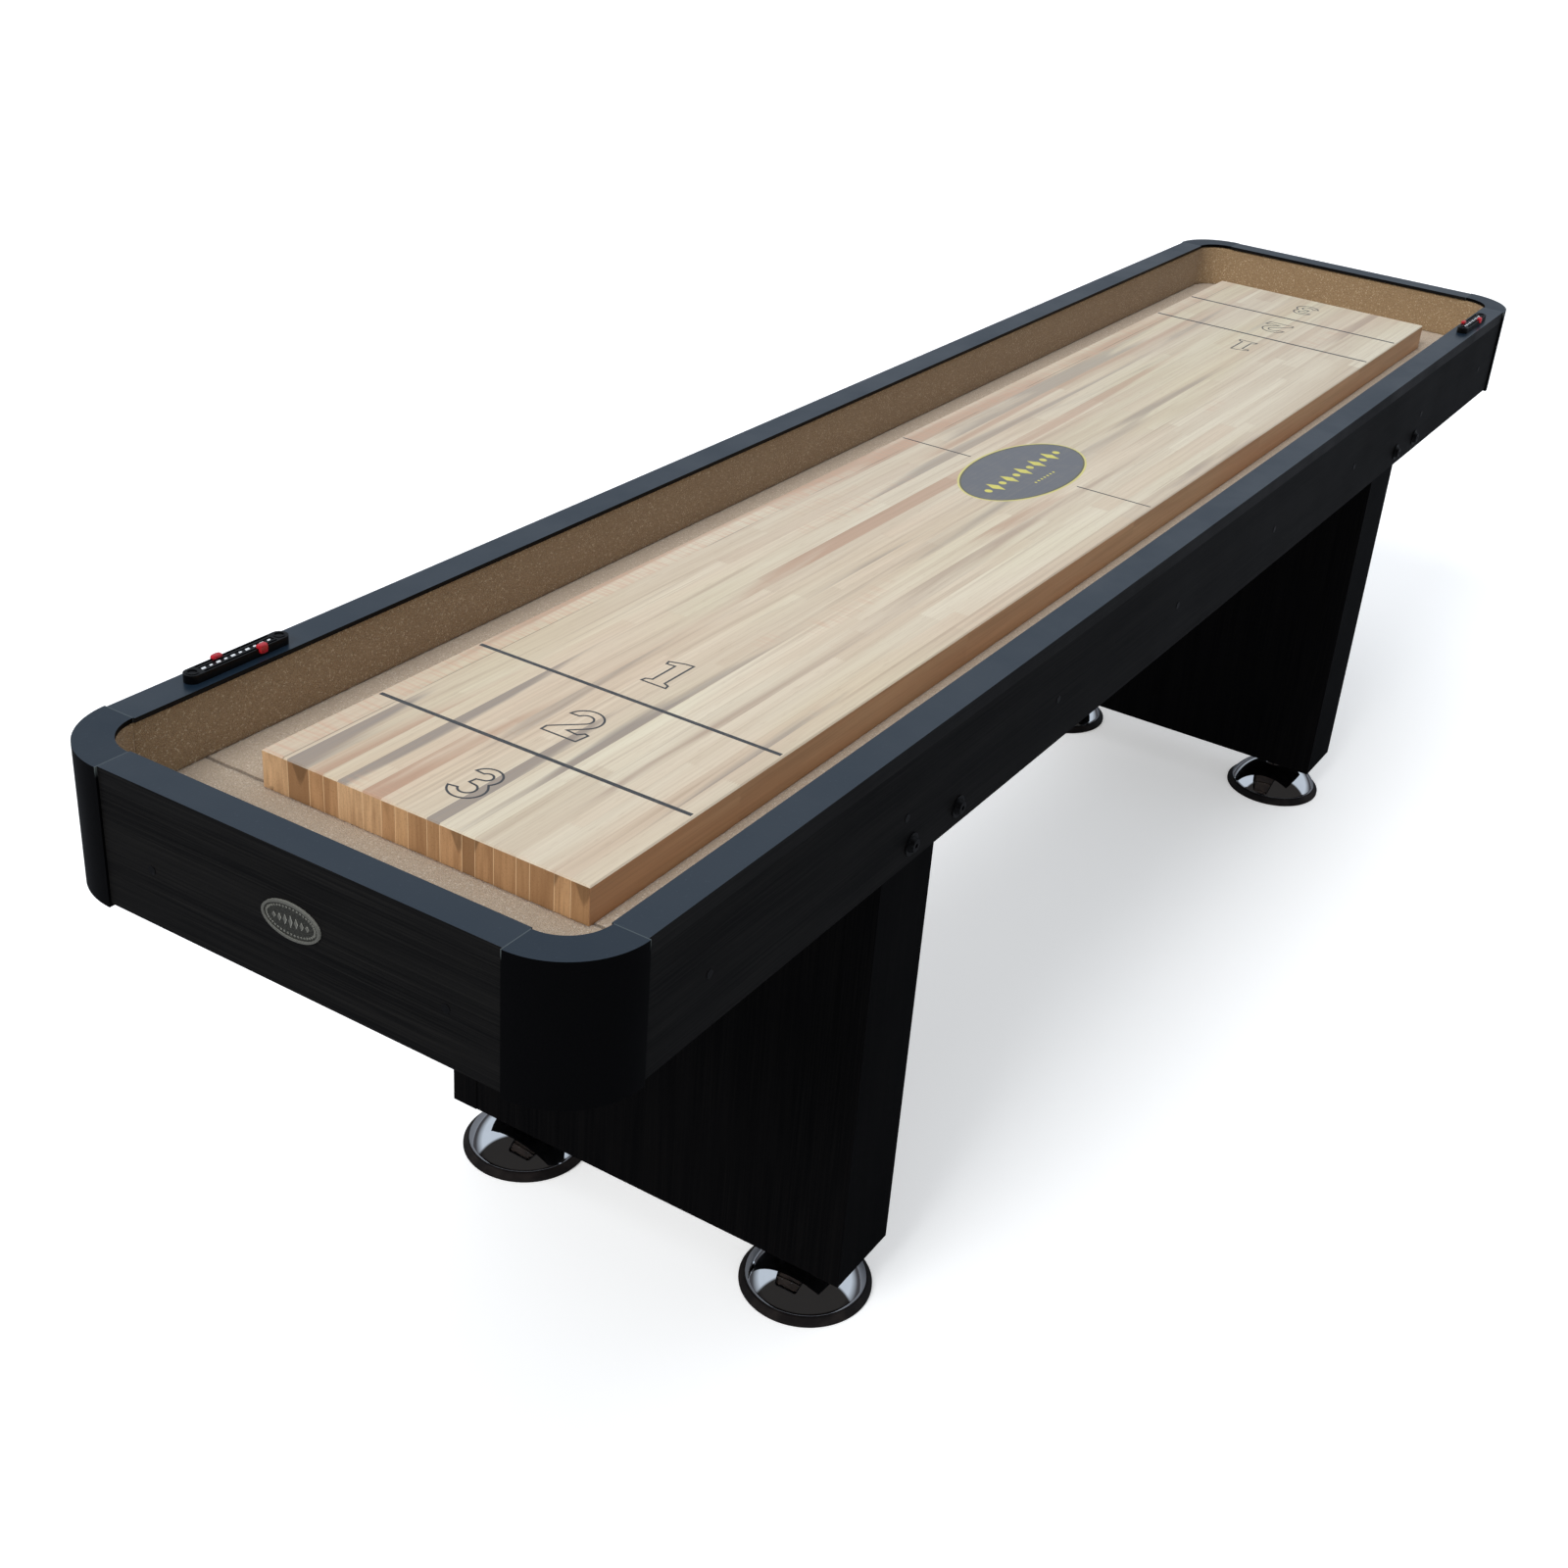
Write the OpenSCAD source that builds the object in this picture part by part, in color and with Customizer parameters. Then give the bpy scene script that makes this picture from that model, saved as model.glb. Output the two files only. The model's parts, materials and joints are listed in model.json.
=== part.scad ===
/* [Cabinet] */
// Overall length over the end aprons
cabinet_l = 2743; // [2600:1:2900]
// Overall width over the side aprons
cabinet_w = 622; // [600:1:660]
// Height of the rail tops above the ground
rail_top = 792; // [760:1:830]
// Height of the cabinet, from apron bottom to rail top
cabinet_h = 143; // [135:1:160]
// Thickness of the apron boards
apron_t = 25; // [22:1:28]
// Width of the rail boards on top of the aprons
rail_w = 37; // [34:1:42]
// Thickness of the rail boards
rail_t = 18; // [14:1:22]
// Thickness of the rails' lip over the wall liners
lip_t = 5; // [3:0.5:8]
// Thickness of the carpeted liner boards on the walls
liner_t = 9; // [6:0.5:10]
// Thickness of the cabinet floor
floor_t = 12; // [10:1:15]
// Thickness of the carpet on the floor
carpet_t = 3; // [2:0.5:4]

/* [Corner mouldings] */
// Outer radius of the cabinet corners
corner_r = 82; // [76:1:90]
// How far a moulding stands proud of the aprons
corner_proud = 2.5; // [0.5:0.5:3]
// Wall thickness of a moulding
corner_wall = 5; // [4:0.5:6]

/* [Playfield] */
// Length of the playfield
playfield_l = 2426; // [2300:1:2440]
// Width of the playfield
playfield_w = 388; // [370:1:400]
// Thickness of the playfield
playfield_t = 43; // [38:1:48]
// Depth of the playing surface below the rail tops
playfield_drop = 35.5; // [30:0.5:40]
// Edge chamfer of the playfield
playfield_chamfer = 1.5; // [0.5:0.5:3]

/* [Floor braces] */
// Width of a brace
brace_w = 38; // [30:1:45]
// Height of a brace
brace_h = 45; // [40:1:50]

/* [Legs] */
// Distance from the table's middle to a leg's middle
leg_x = 791; // [750:1:830]
// Depth of a leg along the table
leg_d = 110; // [100:1:130]
// Height of a leg's underside above the ground
leg_clear = 70; // [66:1:74]
// Thickness of a leg's side posts
post_t = 36; // [32:1:40]
// Thickness of a leg's front and back panels
panel_t = 15; // [12:1:18]
// How far the panels sit back from the post faces
panel_back = 1; // [0.5:0.5:3]
// Thickness of a leg's top and bottom plates
plate_t = 18; // [15:1:22]

/* [Levelling feet] */
// Radius of the foot's ground pad
foot_r = 80.5; // [76:0.5:84]
// Distance from the table's centreline to a foot
foot_y = 213; // [180:1:225]
// Thickness of the ground pad
pad_t = 11; // [9:0.5:13]
// Radius of the polished dome's rim
dome_rim_r = 73; // [70:0.5:75]
// Radius of the polished dome's surface
dome_r = 86.5; // [82:0.5:92]
// Radius of the neck above the dome
neck_r = 24; // [20:1:28]
// Radius of the threaded stem
stem_r = 5.95; // [5.5:0.05:7]
// Height of the stem above the leg's underside
stem_rise = 52; // [48:1:60]

/* [Scorers] */
// Distance from the table's middle to a scorer's middle
scorer_x = 1146; // [1050:1:1180]
// Length between a scorer's two screws
scorer_pitch = 113; // [108:1:118]
// Width of a scorer
scorer_w = 18; // [17:0.5:20]
// Height of a scorer
scorer_h = 9; // [8:0.5:11]
// Length of the slots that the markers slide in
slot_l = 94; // [88:1:96]
// Width of a slot
slot_w = 2.4; // [2:0.1:2.6]

/* [Hardware] */
// Distance between the two bolts of a leg post
bolt_pitch = 98; // [86:1:98]
// Height of the leg bolts above the ground
bolt_z = 671; // [664:1:680]
// Radius of a leg bolt's shank
bolt_r = 4; // [3:0.5:5]
// Distance between neighbouring cabinet screws
screw_pitch = 342; // [320:1:350]
// Distance of the end apron's screws from its middle
end_screw_y = 170; // [140:1:200]
// Radius of a cabinet screw's shank
screw_r = 2.5; // [2:0.25:3]
// Radius of a cabinet screw's head cap
cap_r = 4.5; // [4:0.25:6]
// Width of an end badge
badge_w = 67; // [60:1:80]
// Height of an end badge
badge_h = 37; // [30:1:44]

/* [Hidden] */
$fn = 64;

black_wood = [0.07, 0.07, 0.08];
rail_black = [0.20, 0.25, 0.31];
black_plastic = [0.05, 0.05, 0.06];
maple = [0.84, 0.78, 0.68];
wall_carpet = [0.55, 0.44, 0.31];
floor_carpet = [0.68, 0.60, 0.50];
stained_wood = [0.20, 0.15, 0.11];
zinc = [0.62, 0.63, 0.65];

// -1 is the near end and +1 the far end; +1 is the left side and -1 the right
near = -1;
far = 1;
left = 1;
right = -1;

half_l = cabinet_l / 2;
half_w = cabinet_w / 2;
apron_z = rail_top - cabinet_h;
rail_z = rail_top - rail_t;
side_l = cabinet_l - 2 * corner_r;
end_l = cabinet_w - 2 * corner_r;
inner_r = corner_r - apron_t;
play_z = rail_top - playfield_drop;
floor_top = play_z - playfield_t;
floor_z = floor_top - floor_t;
screw_z = floor_top - floor_t / 2;
slip = 0.05;
gap = 0.3;
cut = 1;

// Playfield and floor ------------------------------------------------------------------------

brace_x = [-1150, -420, 0, 420, 1150];
lag_y = 120;
lag_r = 3;
lag_grip = 26;

module chamfered_bar(l, w, t, c) {
    intersection() {
        rotate([90, 0, 90])
            translate([0, 0, -l / 2])
                linear_extrude(l)
                    polygon([
                        [-w / 2, 0], [w / 2, 0], [w / 2, t - c],
                        [w / 2 - c, t], [c - w / 2, t], [-w / 2, t - c],
                    ]);
        rotate([90, 0, 0])
            translate([0, 0, -w / 2])
                linear_extrude(w)
                    polygon([
                        [-l / 2, 0], [l / 2, 0], [l / 2, t - c],
                        [l / 2 - c, t], [c - l / 2, t], [-l / 2, t - c],
                    ]);
    }
}

module lag_holes() {
    for (x = brace_x, y = [-lag_y, lag_y])
        translate([x, y, floor_z - brace_h - cut])
            cylinder(h = brace_h + floor_t + lag_grip + 2 * cut, r = lag_r + slip);
}

module playfield() {
    color(maple)
        difference() {
            translate([0, 0, floor_top])
                chamfered_bar(playfield_l, playfield_w, playfield_t, playfield_chamfer);
            lag_holes();
        }
}

// Rounded rectangle that fits inside the aprons, drawn in from their inner faces
module well_outline(inset) {
    r = inner_r - inset;
    straight_x = half_l - corner_r;
    straight_y = half_w - corner_r;
    square([2 * straight_x, 2 * (straight_y + r)], center = true);
    square([2 * (straight_x + r), 2 * straight_y], center = true);
    for (x = [-straight_x, straight_x], y = [-straight_y, straight_y])
        translate([x, y])
            circle(r);
}

module cabinet_floor() {
    color(stained_wood)
        difference() {
            translate([0, 0, floor_z])
                linear_extrude(floor_t)
                    well_outline(0);
            lag_holes();
            cabinet_screw_places()
                cabinet_screw_hole();
        }
}

module gutter_carpet() {
    color(floor_carpet)
        translate([0, 0, floor_top])
            linear_extrude(carpet_t)
                difference() {
                    well_outline(liner_t + gap);
                    square([playfield_l + 2 * gap, playfield_w + 2 * gap], center = true);
                }
}

module brace(i) {
    color(stained_wood)
        difference() {
            translate([brace_x[i] - brace_w / 2, apron_t - half_w, floor_z - brace_h])
                cube([brace_w, cabinet_w - 2 * apron_t, brace_h]);
            lag_holes();
        }
}

// Aprons, rails, corners and liners -----------------------------------------------------------

module side_apron(side) {
    color(black_wood)
        difference() {
            translate([-side_l / 2, side * (half_w - apron_t / 2) - apron_t / 2, apron_z])
                cube([side_l, apron_t, rail_z - apron_z]);
            cabinet_screw_places()
                cabinet_screw_hole();
            leg_bolt_places()
                leg_bolt_hole();
        }
}

module end_apron(end) {
    color(black_wood)
        difference() {
            translate([end * (half_l - apron_t / 2) - apron_t / 2, -end_l / 2, apron_z])
                cube([apron_t, end_l, rail_z - apron_z]);
            cabinet_screw_places()
                cabinet_screw_hole();
        }
}

// A rail of length l along X, from its outer face at Y = 0 inwards, with a lip over the liner
module rail_board(l) {
    translate([-l / 2, -apron_t, rail_z])
        cube([l, apron_t, rail_t]);
    translate([-l / 2, -rail_w, rail_top - lip_t])
        cube([l, rail_w, lip_t]);
}

module side_rail(side) {
    color(rail_black)
        difference() {
            rotate([0, 0, side == left ? 0 : 180])
                translate([0, half_w, 0])
                    rail_board(side_l);
            scorer_place(side)
                for (x = [-scorer_pitch / 2, scorer_pitch / 2])
                    translate([x, 0, -scorer_screw_grip])
                        cylinder(h = scorer_screw_grip + cut, r = scorer_screw_r + slip);
        }
}

module end_rail(end) {
    color(rail_black)
        rotate([0, 0, end == far ? -90 : 90])
            translate([0, half_l, 0])
                rail_board(end_l);
}

corner_drop = 3.5;
corner_end_angle = 5;
cap_back = 2;

// Section of a moulding, from its centre outwards, with the cap reaching in over the liner
module corner_section() {
    outer = corner_r + corner_proud;
    translate([inner_r, apron_z - corner_drop])
        square([outer - inner_r, cabinet_h + corner_drop]);
    translate([corner_r - rail_w + cap_back, rail_top - lip_t])
        square([rail_w + corner_proud - cap_back, lip_t]);
}

module corner_hollow() {
    outer = corner_r + corner_proud;
    translate([inner_r + corner_wall, apron_z - corner_drop - cut])
        square([outer - inner_r - 2 * corner_wall, cabinet_h + corner_drop + cut - corner_wall]);
}

module corner(end, side) {
    turn = side == left ? (end == far ? 0 : 90) : (end == near ? 180 : 270);
    color(black_plastic)
        translate([end * side_l / 2, side * end_l / 2, 0])
            rotate([0, 0, turn])
                difference() {
                    rotate_extrude(angle = 90)
                        corner_section();
                    rotate([0, 0, corner_end_angle])
                        rotate_extrude(angle = 90 - 2 * corner_end_angle)
                            corner_hollow();
                }
}

liner_h = rail_top - lip_t - floor_top - gap;

module side_liner(side) {
    color(wall_carpet)
        translate([-side_l / 2, side * (half_w - apron_t - liner_t / 2) - liner_t / 2, floor_top])
            cube([side_l, liner_t, liner_h]);
}

// The end's straight run and the two curves beside it, in one carpeted liner
module end_liner(end) {
    color(wall_carpet)
        translate([0, 0, floor_top])
            linear_extrude(liner_h)
                difference() {
                    well_outline(0);
                    well_outline(liner_t);
                    translate([-end * half_l, 0])
                        square([2 * half_l + side_l, cabinet_w], center = true);
                }
}

badge_t = 2.5;
badge_rim = 2.5;
badge_sink = 0.8;

module badge_outline(inset) {
    scale([badge_w - 2 * inset, badge_h - 2 * inset])
        circle(d = 1);
}

module badge(end) {
    color(zinc)
        translate([end * half_l, 0, (apron_z + rail_top) / 2 + 3])
            rotate([90, 0, end * 90])
                difference() {
                    linear_extrude(badge_t)
                        badge_outline(0);
                    translate([0, 0, badge_t - badge_sink])
                        linear_extrude(badge_sink + cut)
                            badge_outline(badge_rim);
                }
}

// Legs ----------------------------------------------------------------------------------------

leg_half_w = half_w - apron_t;
leg_h = floor_z - leg_clear;
panel_w = 2 * (leg_half_w - post_t);
plate_d = leg_d - 2 * (panel_t + panel_back);

module leg_post(end, side) {
    color(black_wood)
        difference() {
            translate([end * leg_x - leg_d / 2, side * (leg_half_w - post_t / 2) - post_t / 2, leg_clear])
                cube([leg_d, post_t, leg_h]);
            leg_bolt_places()
                leg_bolt_hole();
        }
}

// face is +1 for the panel that looks away from the table's middle
module leg_panel(end, face) {
    middle = leg_d / 2 - panel_back - panel_t / 2;
    color(black_wood)
        difference() {
            translate([end * (leg_x + face * middle) - panel_t / 2, -panel_w / 2, leg_clear])
                cube([panel_t, panel_w, leg_h]);
            leg_bolt_places()
                nut_pocket();
        }
}

module leg_plate(end, z) {
    translate([end * leg_x - plate_d / 2, -panel_w / 2, z])
        cube([plate_d, panel_w, plate_t]);
}

module leg_top_plate(end) {
    color(stained_wood)
        leg_plate(end, floor_z - plate_t);
}

module leg_bottom_plate(end) {
    color(black_wood)
        difference() {
            leg_plate(end, leg_clear);
            for (side = [left, right])
                translate([end * leg_x, side * foot_y, leg_clear - cut])
                    cylinder(h = plate_t + 2 * cut, r = insert_r);
        }
}

// Levelling feet ------------------------------------------------------------------------------

insert_r = 8;
insert_flange_r = 13;
insert_flange_t = 2;
pivot_r = 10;
pivot_h = 12;
hub_r = 20;
dome_wall = 3;
lip_h = 2;
dome_drop = sqrt(dome_r * dome_r - dome_rim_r * dome_rim_r);
dome_base = pad_t + gap + lip_h;

module leveler_inserts() {
    color(zinc)
        for (end = [near, far], side = [left, right])
            translate([end * leg_x, side * foot_y, leg_clear])
                difference() {
                    union() {
                        cylinder(h = plate_t, r = insert_r);
                        translate([0, 0, plate_t])
                            cylinder(h = insert_flange_t, r = insert_flange_r);
                    }
                    translate([0, 0, -cut])
                        cylinder(h = plate_t + insert_flange_t + 2 * cut, r = stem_r + slip);
                }
}

module foot_pad(end, side) {
    edge = 1.5;
    shoulder = 5;
    color(black_plastic)
        translate([end * leg_x, side * foot_y, 0]) {
            cylinder(h = edge, r1 = foot_r - edge, r2 = foot_r);
            translate([0, 0, edge])
                cylinder(h = shoulder - edge, r = foot_r);
            translate([0, 0, shoulder])
                cylinder(h = pad_t - shoulder, r1 = foot_r, r2 = dome_rim_r + 1);
            translate([0, 0, pad_t])
                cylinder(h = pivot_h, r = pivot_r);
        }
}

module dome_cap(radius) {
    translate([0, 0, dome_base - dome_drop])
        sphere(r = radius);
}

module foot_dome(end, side) {
    bottom = pad_t + gap;
    color(zinc)
        translate([end * leg_x, side * foot_y, 0])
            difference() {
                union() {
                    intersection() {
                        dome_cap(dome_r);
                        translate([0, 0, bottom])
                            cylinder(h = leg_clear, r = dome_rim_r);
                    }
                    cylinder(h = leg_clear, r = neck_r);
                    cylinder(h = leg_clear + stem_rise, r = stem_r);
                }
                translate([0, 0, -cut])
                    cylinder(h = bottom + cut, r = foot_r);
                translate([0, 0, bottom - cut])
                    cylinder(h = pivot_h + cut, r = pivot_r + slip);
                difference() {
                    intersection() {
                        dome_cap(dome_r - dome_wall);
                        translate([0, 0, bottom - cut])
                            cylinder(h = leg_clear, r = dome_rim_r - dome_wall);
                    }
                    cylinder(h = leg_clear, r = hub_r);
                }
            }
}

// Scorers -------------------------------------------------------------------------------------

scorer_screw_r = 2;
scorer_screw_head_r = 4.2;
scorer_screw_head_t = 1.6;
scorer_screw_grip = 14;
scorer_sink = 2.2;
window_w = 6;
window_d = 0.8;
slot_y = 6.4;
slot_d = 6;
marker_l = 12;
marker_tongue_l = 10;
marker_cover = 6;

// A scorer's own frame: middle of its underside, +Y towards the outside of the table
module scorer_place(side) {
    translate([-side * scorer_x, side * (half_w - rail_w / 2), rail_top])
        rotate([0, 0, side == left ? 0 : 180])
            children();
}

module scorer(side) {
    color(black_plastic)
        scorer_place(side)
            difference() {
                union() {
                    translate([-scorer_pitch / 2, -scorer_w / 2, 0])
                        cube([scorer_pitch, scorer_w, scorer_h]);
                    for (x = [-scorer_pitch / 2, scorer_pitch / 2])
                        translate([x, 0, 0])
                            cylinder(h = scorer_h, r = scorer_w / 2);
                }
                for (x = [-scorer_pitch / 2, scorer_pitch / 2])
                    translate([x, 0, 0]) {
                        translate([0, 0, -cut])
                            cylinder(h = scorer_h + 2 * cut, r = scorer_screw_r + slip);
                        translate([0, 0, scorer_h - scorer_sink])
                            cylinder(h = scorer_sink + cut, r = scorer_screw_head_r + gap);
                    }
                for (y = [-slot_y, slot_y])
                    translate([-slot_l / 2, y - slot_w / 2, scorer_h - slot_d])
                        cube([slot_l, slot_w, slot_d + cut]);
                translate([-slot_l / 2, -window_w / 2, scorer_h - window_d])
                    cube([slot_l, window_w, window_d + cut]);
            }
}

module scorer_screws() {
    color(zinc)
        for (side = [left, right])
            scorer_place(side)
                for (x = [-scorer_pitch / 2, scorer_pitch / 2])
                    translate([x, 0, 0]) {
                        translate([0, 0, -scorer_screw_grip])
                            cylinder(h = scorer_h - scorer_sink + scorer_screw_grip, r = scorer_screw_r);
                        translate([0, 0, scorer_h - scorer_sink])
                            cylinder(h = scorer_screw_head_t, r = scorer_screw_head_r);
                    }
}

// edge is +1 for the marker on the outside of the table; at is its place along the scorer
module marker(side, edge, at) {
    skirt_y = scorer_w / 2 + gap;
    skirt_t = 2.2;
    head_in = 1.2;
    head_t = 3.5;
    reach = skirt_y + skirt_t - slot_y + slot_w / 2 + head_in;
    color("firebrick")
        scorer_place(side)
            translate([at, 0, 0])
                mirror([0, edge > 0 ? 0 : 1, 0]) {
                    translate([-marker_tongue_l / 2, slot_y - slot_w / 2 + slip, scorer_h - slot_d + gap])
                        cube([marker_tongue_l, slot_w - 2 * slip, slot_d]);
                    translate([-marker_l / 2, slot_y - slot_w / 2 - head_in, scorer_h + gap])
                        cube([marker_l, reach, head_t]);
                    translate([-marker_l / 2, skirt_y, scorer_h - marker_cover])
                        cube([marker_l, skirt_t, marker_cover + gap + head_t]);
                }
}

marker_outer_at = -19;
marker_inner_at = 26;

// Fasteners -----------------------------------------------------------------------------------

screw_l = 40;
cap_t = 1.5;
cap_proud = 0.5;

// Each place has +Z pointing out of the cabinet, with its origin on the apron's outer face
module cabinet_screw_places() {
    for (side = [left, right], i = [-3.5 : 3.5])
        translate([i * screw_pitch, side * half_w, screw_z])
            rotate([-side * 90, 0, 0])
                children();
    for (end = [near, far], side = [left, right])
        translate([end * half_l, side * end_screw_y, screw_z])
            rotate([0, end * 90, 0])
                children();
}

module cabinet_screw_hole() {
    translate([0, 0, -screw_l])
        cylinder(h = screw_l + cut, r = screw_r + slip);
    translate([0, 0, -cap_t])
        cylinder(h = cap_t + cut, r = cap_r + slip);
}

module cabinet_screws() {
    color(black_plastic)
        cabinet_screw_places() {
            translate([0, 0, -screw_l])
                cylinder(h = screw_l, r = screw_r);
            translate([0, 0, -cap_t])
                cylinder(h = cap_t + cap_proud, r = cap_r);
        }
}

washer_r = 12.5;
washer_t = 1.5;
bolt_head_r = 9;
bolt_head_t = 5;
bolt_nose = 14;
bolt_l = apron_t + post_t + bolt_nose;
nut_flange_r = 9;

module leg_bolt_places() {
    for (end = [near, far], side = [left, right], x = [-bolt_pitch / 2, bolt_pitch / 2])
        translate([end * leg_x + x, side * half_w, bolt_z])
            rotate([-side * 90, 0, 0])
                children();
}

module leg_bolt_hole() {
    translate([0, 0, -apron_t - post_t - cut])
        cylinder(h = apron_t + post_t + 2 * cut, r = bolt_r + slip);
}

// Room in a leg panel's ends for the nuts and the bolts' noses
module nut_pocket() {
    translate([0, 0, -bolt_l - cut])
        cylinder(h = bolt_nose + 2 * cut, r = nut_flange_r + 2);
}

module leg_bolts() {
    socket_r = 2.9;
    color(black_plastic)
        leg_bolt_places()
            difference() {
                union() {
                    translate([0, 0, -bolt_l])
                        cylinder(h = bolt_l + washer_t, r = bolt_r);
                    translate([0, 0, washer_t])
                        cylinder(h = bolt_head_t, r1 = bolt_head_r, r2 = bolt_head_r - 2);
                }
                translate([0, 0, washer_t + bolt_head_t / 2])
                    cylinder(h = bolt_head_t, r = socket_r, $fn = 6);
            }
}

module leg_washers() {
    color(black_plastic)
        leg_bolt_places()
            difference() {
                cylinder(h = washer_t, r = washer_r);
                translate([0, 0, -cut])
                    cylinder(h = washer_t + 2 * cut, r = bolt_r + slip);
            }
}

module leg_nuts() {
    nut_h = 6.5;
    nut_r = 7.5;
    flange_t = 1.5;
    color(zinc)
        leg_bolt_places()
            translate([0, 0, -apron_t - post_t - flange_t - nut_h])
                difference() {
                    union() {
                        cylinder(h = nut_h, r = nut_r, $fn = 6);
                        translate([0, 0, nut_h])
                            cylinder(h = flange_t, r = nut_flange_r);
                    }
                    translate([0, 0, -cut])
                        cylinder(h = nut_h + flange_t + 2 * cut, r = bolt_r + slip);
                }
}

module playfield_screws() {
    head_r = 6;
    head_t = 3;
    color(zinc)
        for (x = brace_x, y = [-lag_y, lag_y])
            translate([x, y, floor_z - brace_h]) {
                cylinder(h = brace_h + floor_t + lag_grip, r = lag_r);
                translate([0, 0, -head_t])
                    cylinder(h = head_t, r = head_r);
            }
}

playfield();
cabinet_floor();
gutter_carpet();
side_apron(left);  // side_apron_left
side_apron(right);  // side_apron_right
end_apron(near);  // end_apron_near
end_apron(far);  // end_apron_far
side_rail(left);  // side_rail_left
side_rail(right);  // side_rail_right
end_rail(near);  // end_rail_near
end_rail(far);  // end_rail_far
corner(near, left);  // corner_near_left
corner(near, right);  // corner_near_right
corner(far, left);  // corner_far_left
corner(far, right);  // corner_far_right
side_liner(left);  // side_liner_left
side_liner(right);  // side_liner_right
end_liner(near);  // end_liner_near
end_liner(far);  // end_liner_far
brace(0);  // brace_end_near
brace(1);  // brace_near
brace(2);  // brace_middle
brace(3);  // brace_far
brace(4);  // brace_end_far
badge(near);  // badge_near
badge(far);  // badge_far
leg_post(near, left);  // near_leg_post_left
leg_post(near, right);  // near_leg_post_right
leg_panel(near, 1);  // near_leg_panel_outer
leg_panel(near, -1);  // near_leg_panel_inner
leg_top_plate(near);  // near_leg_top_plate
leg_bottom_plate(near);  // near_leg_bottom_plate
leg_post(far, left);  // far_leg_post_left
leg_post(far, right);  // far_leg_post_right
leg_panel(far, 1);  // far_leg_panel_outer
leg_panel(far, -1);  // far_leg_panel_inner
leg_top_plate(far);  // far_leg_top_plate
leg_bottom_plate(far);  // far_leg_bottom_plate
leg_bolts();
leg_washers();
leg_nuts();
cabinet_screws();
playfield_screws();
leveler_inserts();
foot_pad(near, left);  // foot_pad_near_left
foot_pad(near, right);  // foot_pad_near_right
foot_pad(far, left);  // foot_pad_far_left
foot_pad(far, right);  // foot_pad_far_right
foot_dome(near, left);  // foot_dome_near_left
foot_dome(near, right);  // foot_dome_near_right
foot_dome(far, left);  // foot_dome_far_left
foot_dome(far, right);  // foot_dome_far_right
scorer(left);  // scorer_left
scorer(right);  // scorer_right
scorer_screws();
marker(left, 1, marker_outer_at);  // marker_left_outer
marker(left, -1, marker_inner_at);  // marker_left_inner
marker(right, 1, marker_outer_at);  // marker_right_outer
marker(right, -1, marker_inner_at);  // marker_right_inner
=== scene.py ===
"""The looks of the shuffleboard table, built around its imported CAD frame. Metres, Z up."""

import json
import math
import random

import bpy
from mathutils import Matrix, Vector, noise


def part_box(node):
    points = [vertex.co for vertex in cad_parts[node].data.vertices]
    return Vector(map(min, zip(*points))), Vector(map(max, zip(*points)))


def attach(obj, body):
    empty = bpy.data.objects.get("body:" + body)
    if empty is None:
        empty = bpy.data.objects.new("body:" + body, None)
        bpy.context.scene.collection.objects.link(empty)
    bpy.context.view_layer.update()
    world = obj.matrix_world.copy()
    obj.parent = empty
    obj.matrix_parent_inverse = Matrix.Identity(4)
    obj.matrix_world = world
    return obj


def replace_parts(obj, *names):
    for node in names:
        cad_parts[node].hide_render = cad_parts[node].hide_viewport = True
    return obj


MM = 0.001
ENDS = {"near": -1, "far": 1}
SIDES = {"left": 1, "right": -1}

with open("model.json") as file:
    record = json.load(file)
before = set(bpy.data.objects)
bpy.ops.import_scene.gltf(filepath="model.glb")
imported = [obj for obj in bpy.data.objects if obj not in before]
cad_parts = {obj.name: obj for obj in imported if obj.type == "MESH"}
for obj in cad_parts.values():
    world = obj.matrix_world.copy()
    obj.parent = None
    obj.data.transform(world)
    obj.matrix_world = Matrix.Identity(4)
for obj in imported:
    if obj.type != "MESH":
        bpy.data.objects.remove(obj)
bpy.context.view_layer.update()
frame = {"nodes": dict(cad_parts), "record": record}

# Places taken from the frame ------------------------------------------------------------------

board_low, board_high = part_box("playfield")
carpet_low, carpet_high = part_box("gutter_carpet")
liner_low, liner_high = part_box("side_liner_left")
rail_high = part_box("side_rail_left")[1]
badge_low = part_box("badge_near")[0]

board_top = board_high.z
carpet_t = carpet_high.z - carpet_low.z
liner_t = liner_high.y - liner_low.y
end_liner_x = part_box("end_liner_far")[1].x
badge_floor_x = -badge_low.x - 0.8 * MM
# the corners' round parts begin beyond these
straight_x = rail_high.x
straight_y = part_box("end_apron_near")[1].y
seam_x = board_low.x + 6 * MM


# Materials ------------------------------------------------------------------------------------


def srgb(red, green, blue):
    """A colour as it looks on a screen, 0 to 255, as a linear RGBA value."""
    def linear(v):
        v /= 255
        return v / 12.92 if v <= 0.04045 else ((v + 0.055) / 1.055) ** 2.4
    return (linear(red), linear(green), linear(blue), 1.0)


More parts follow.
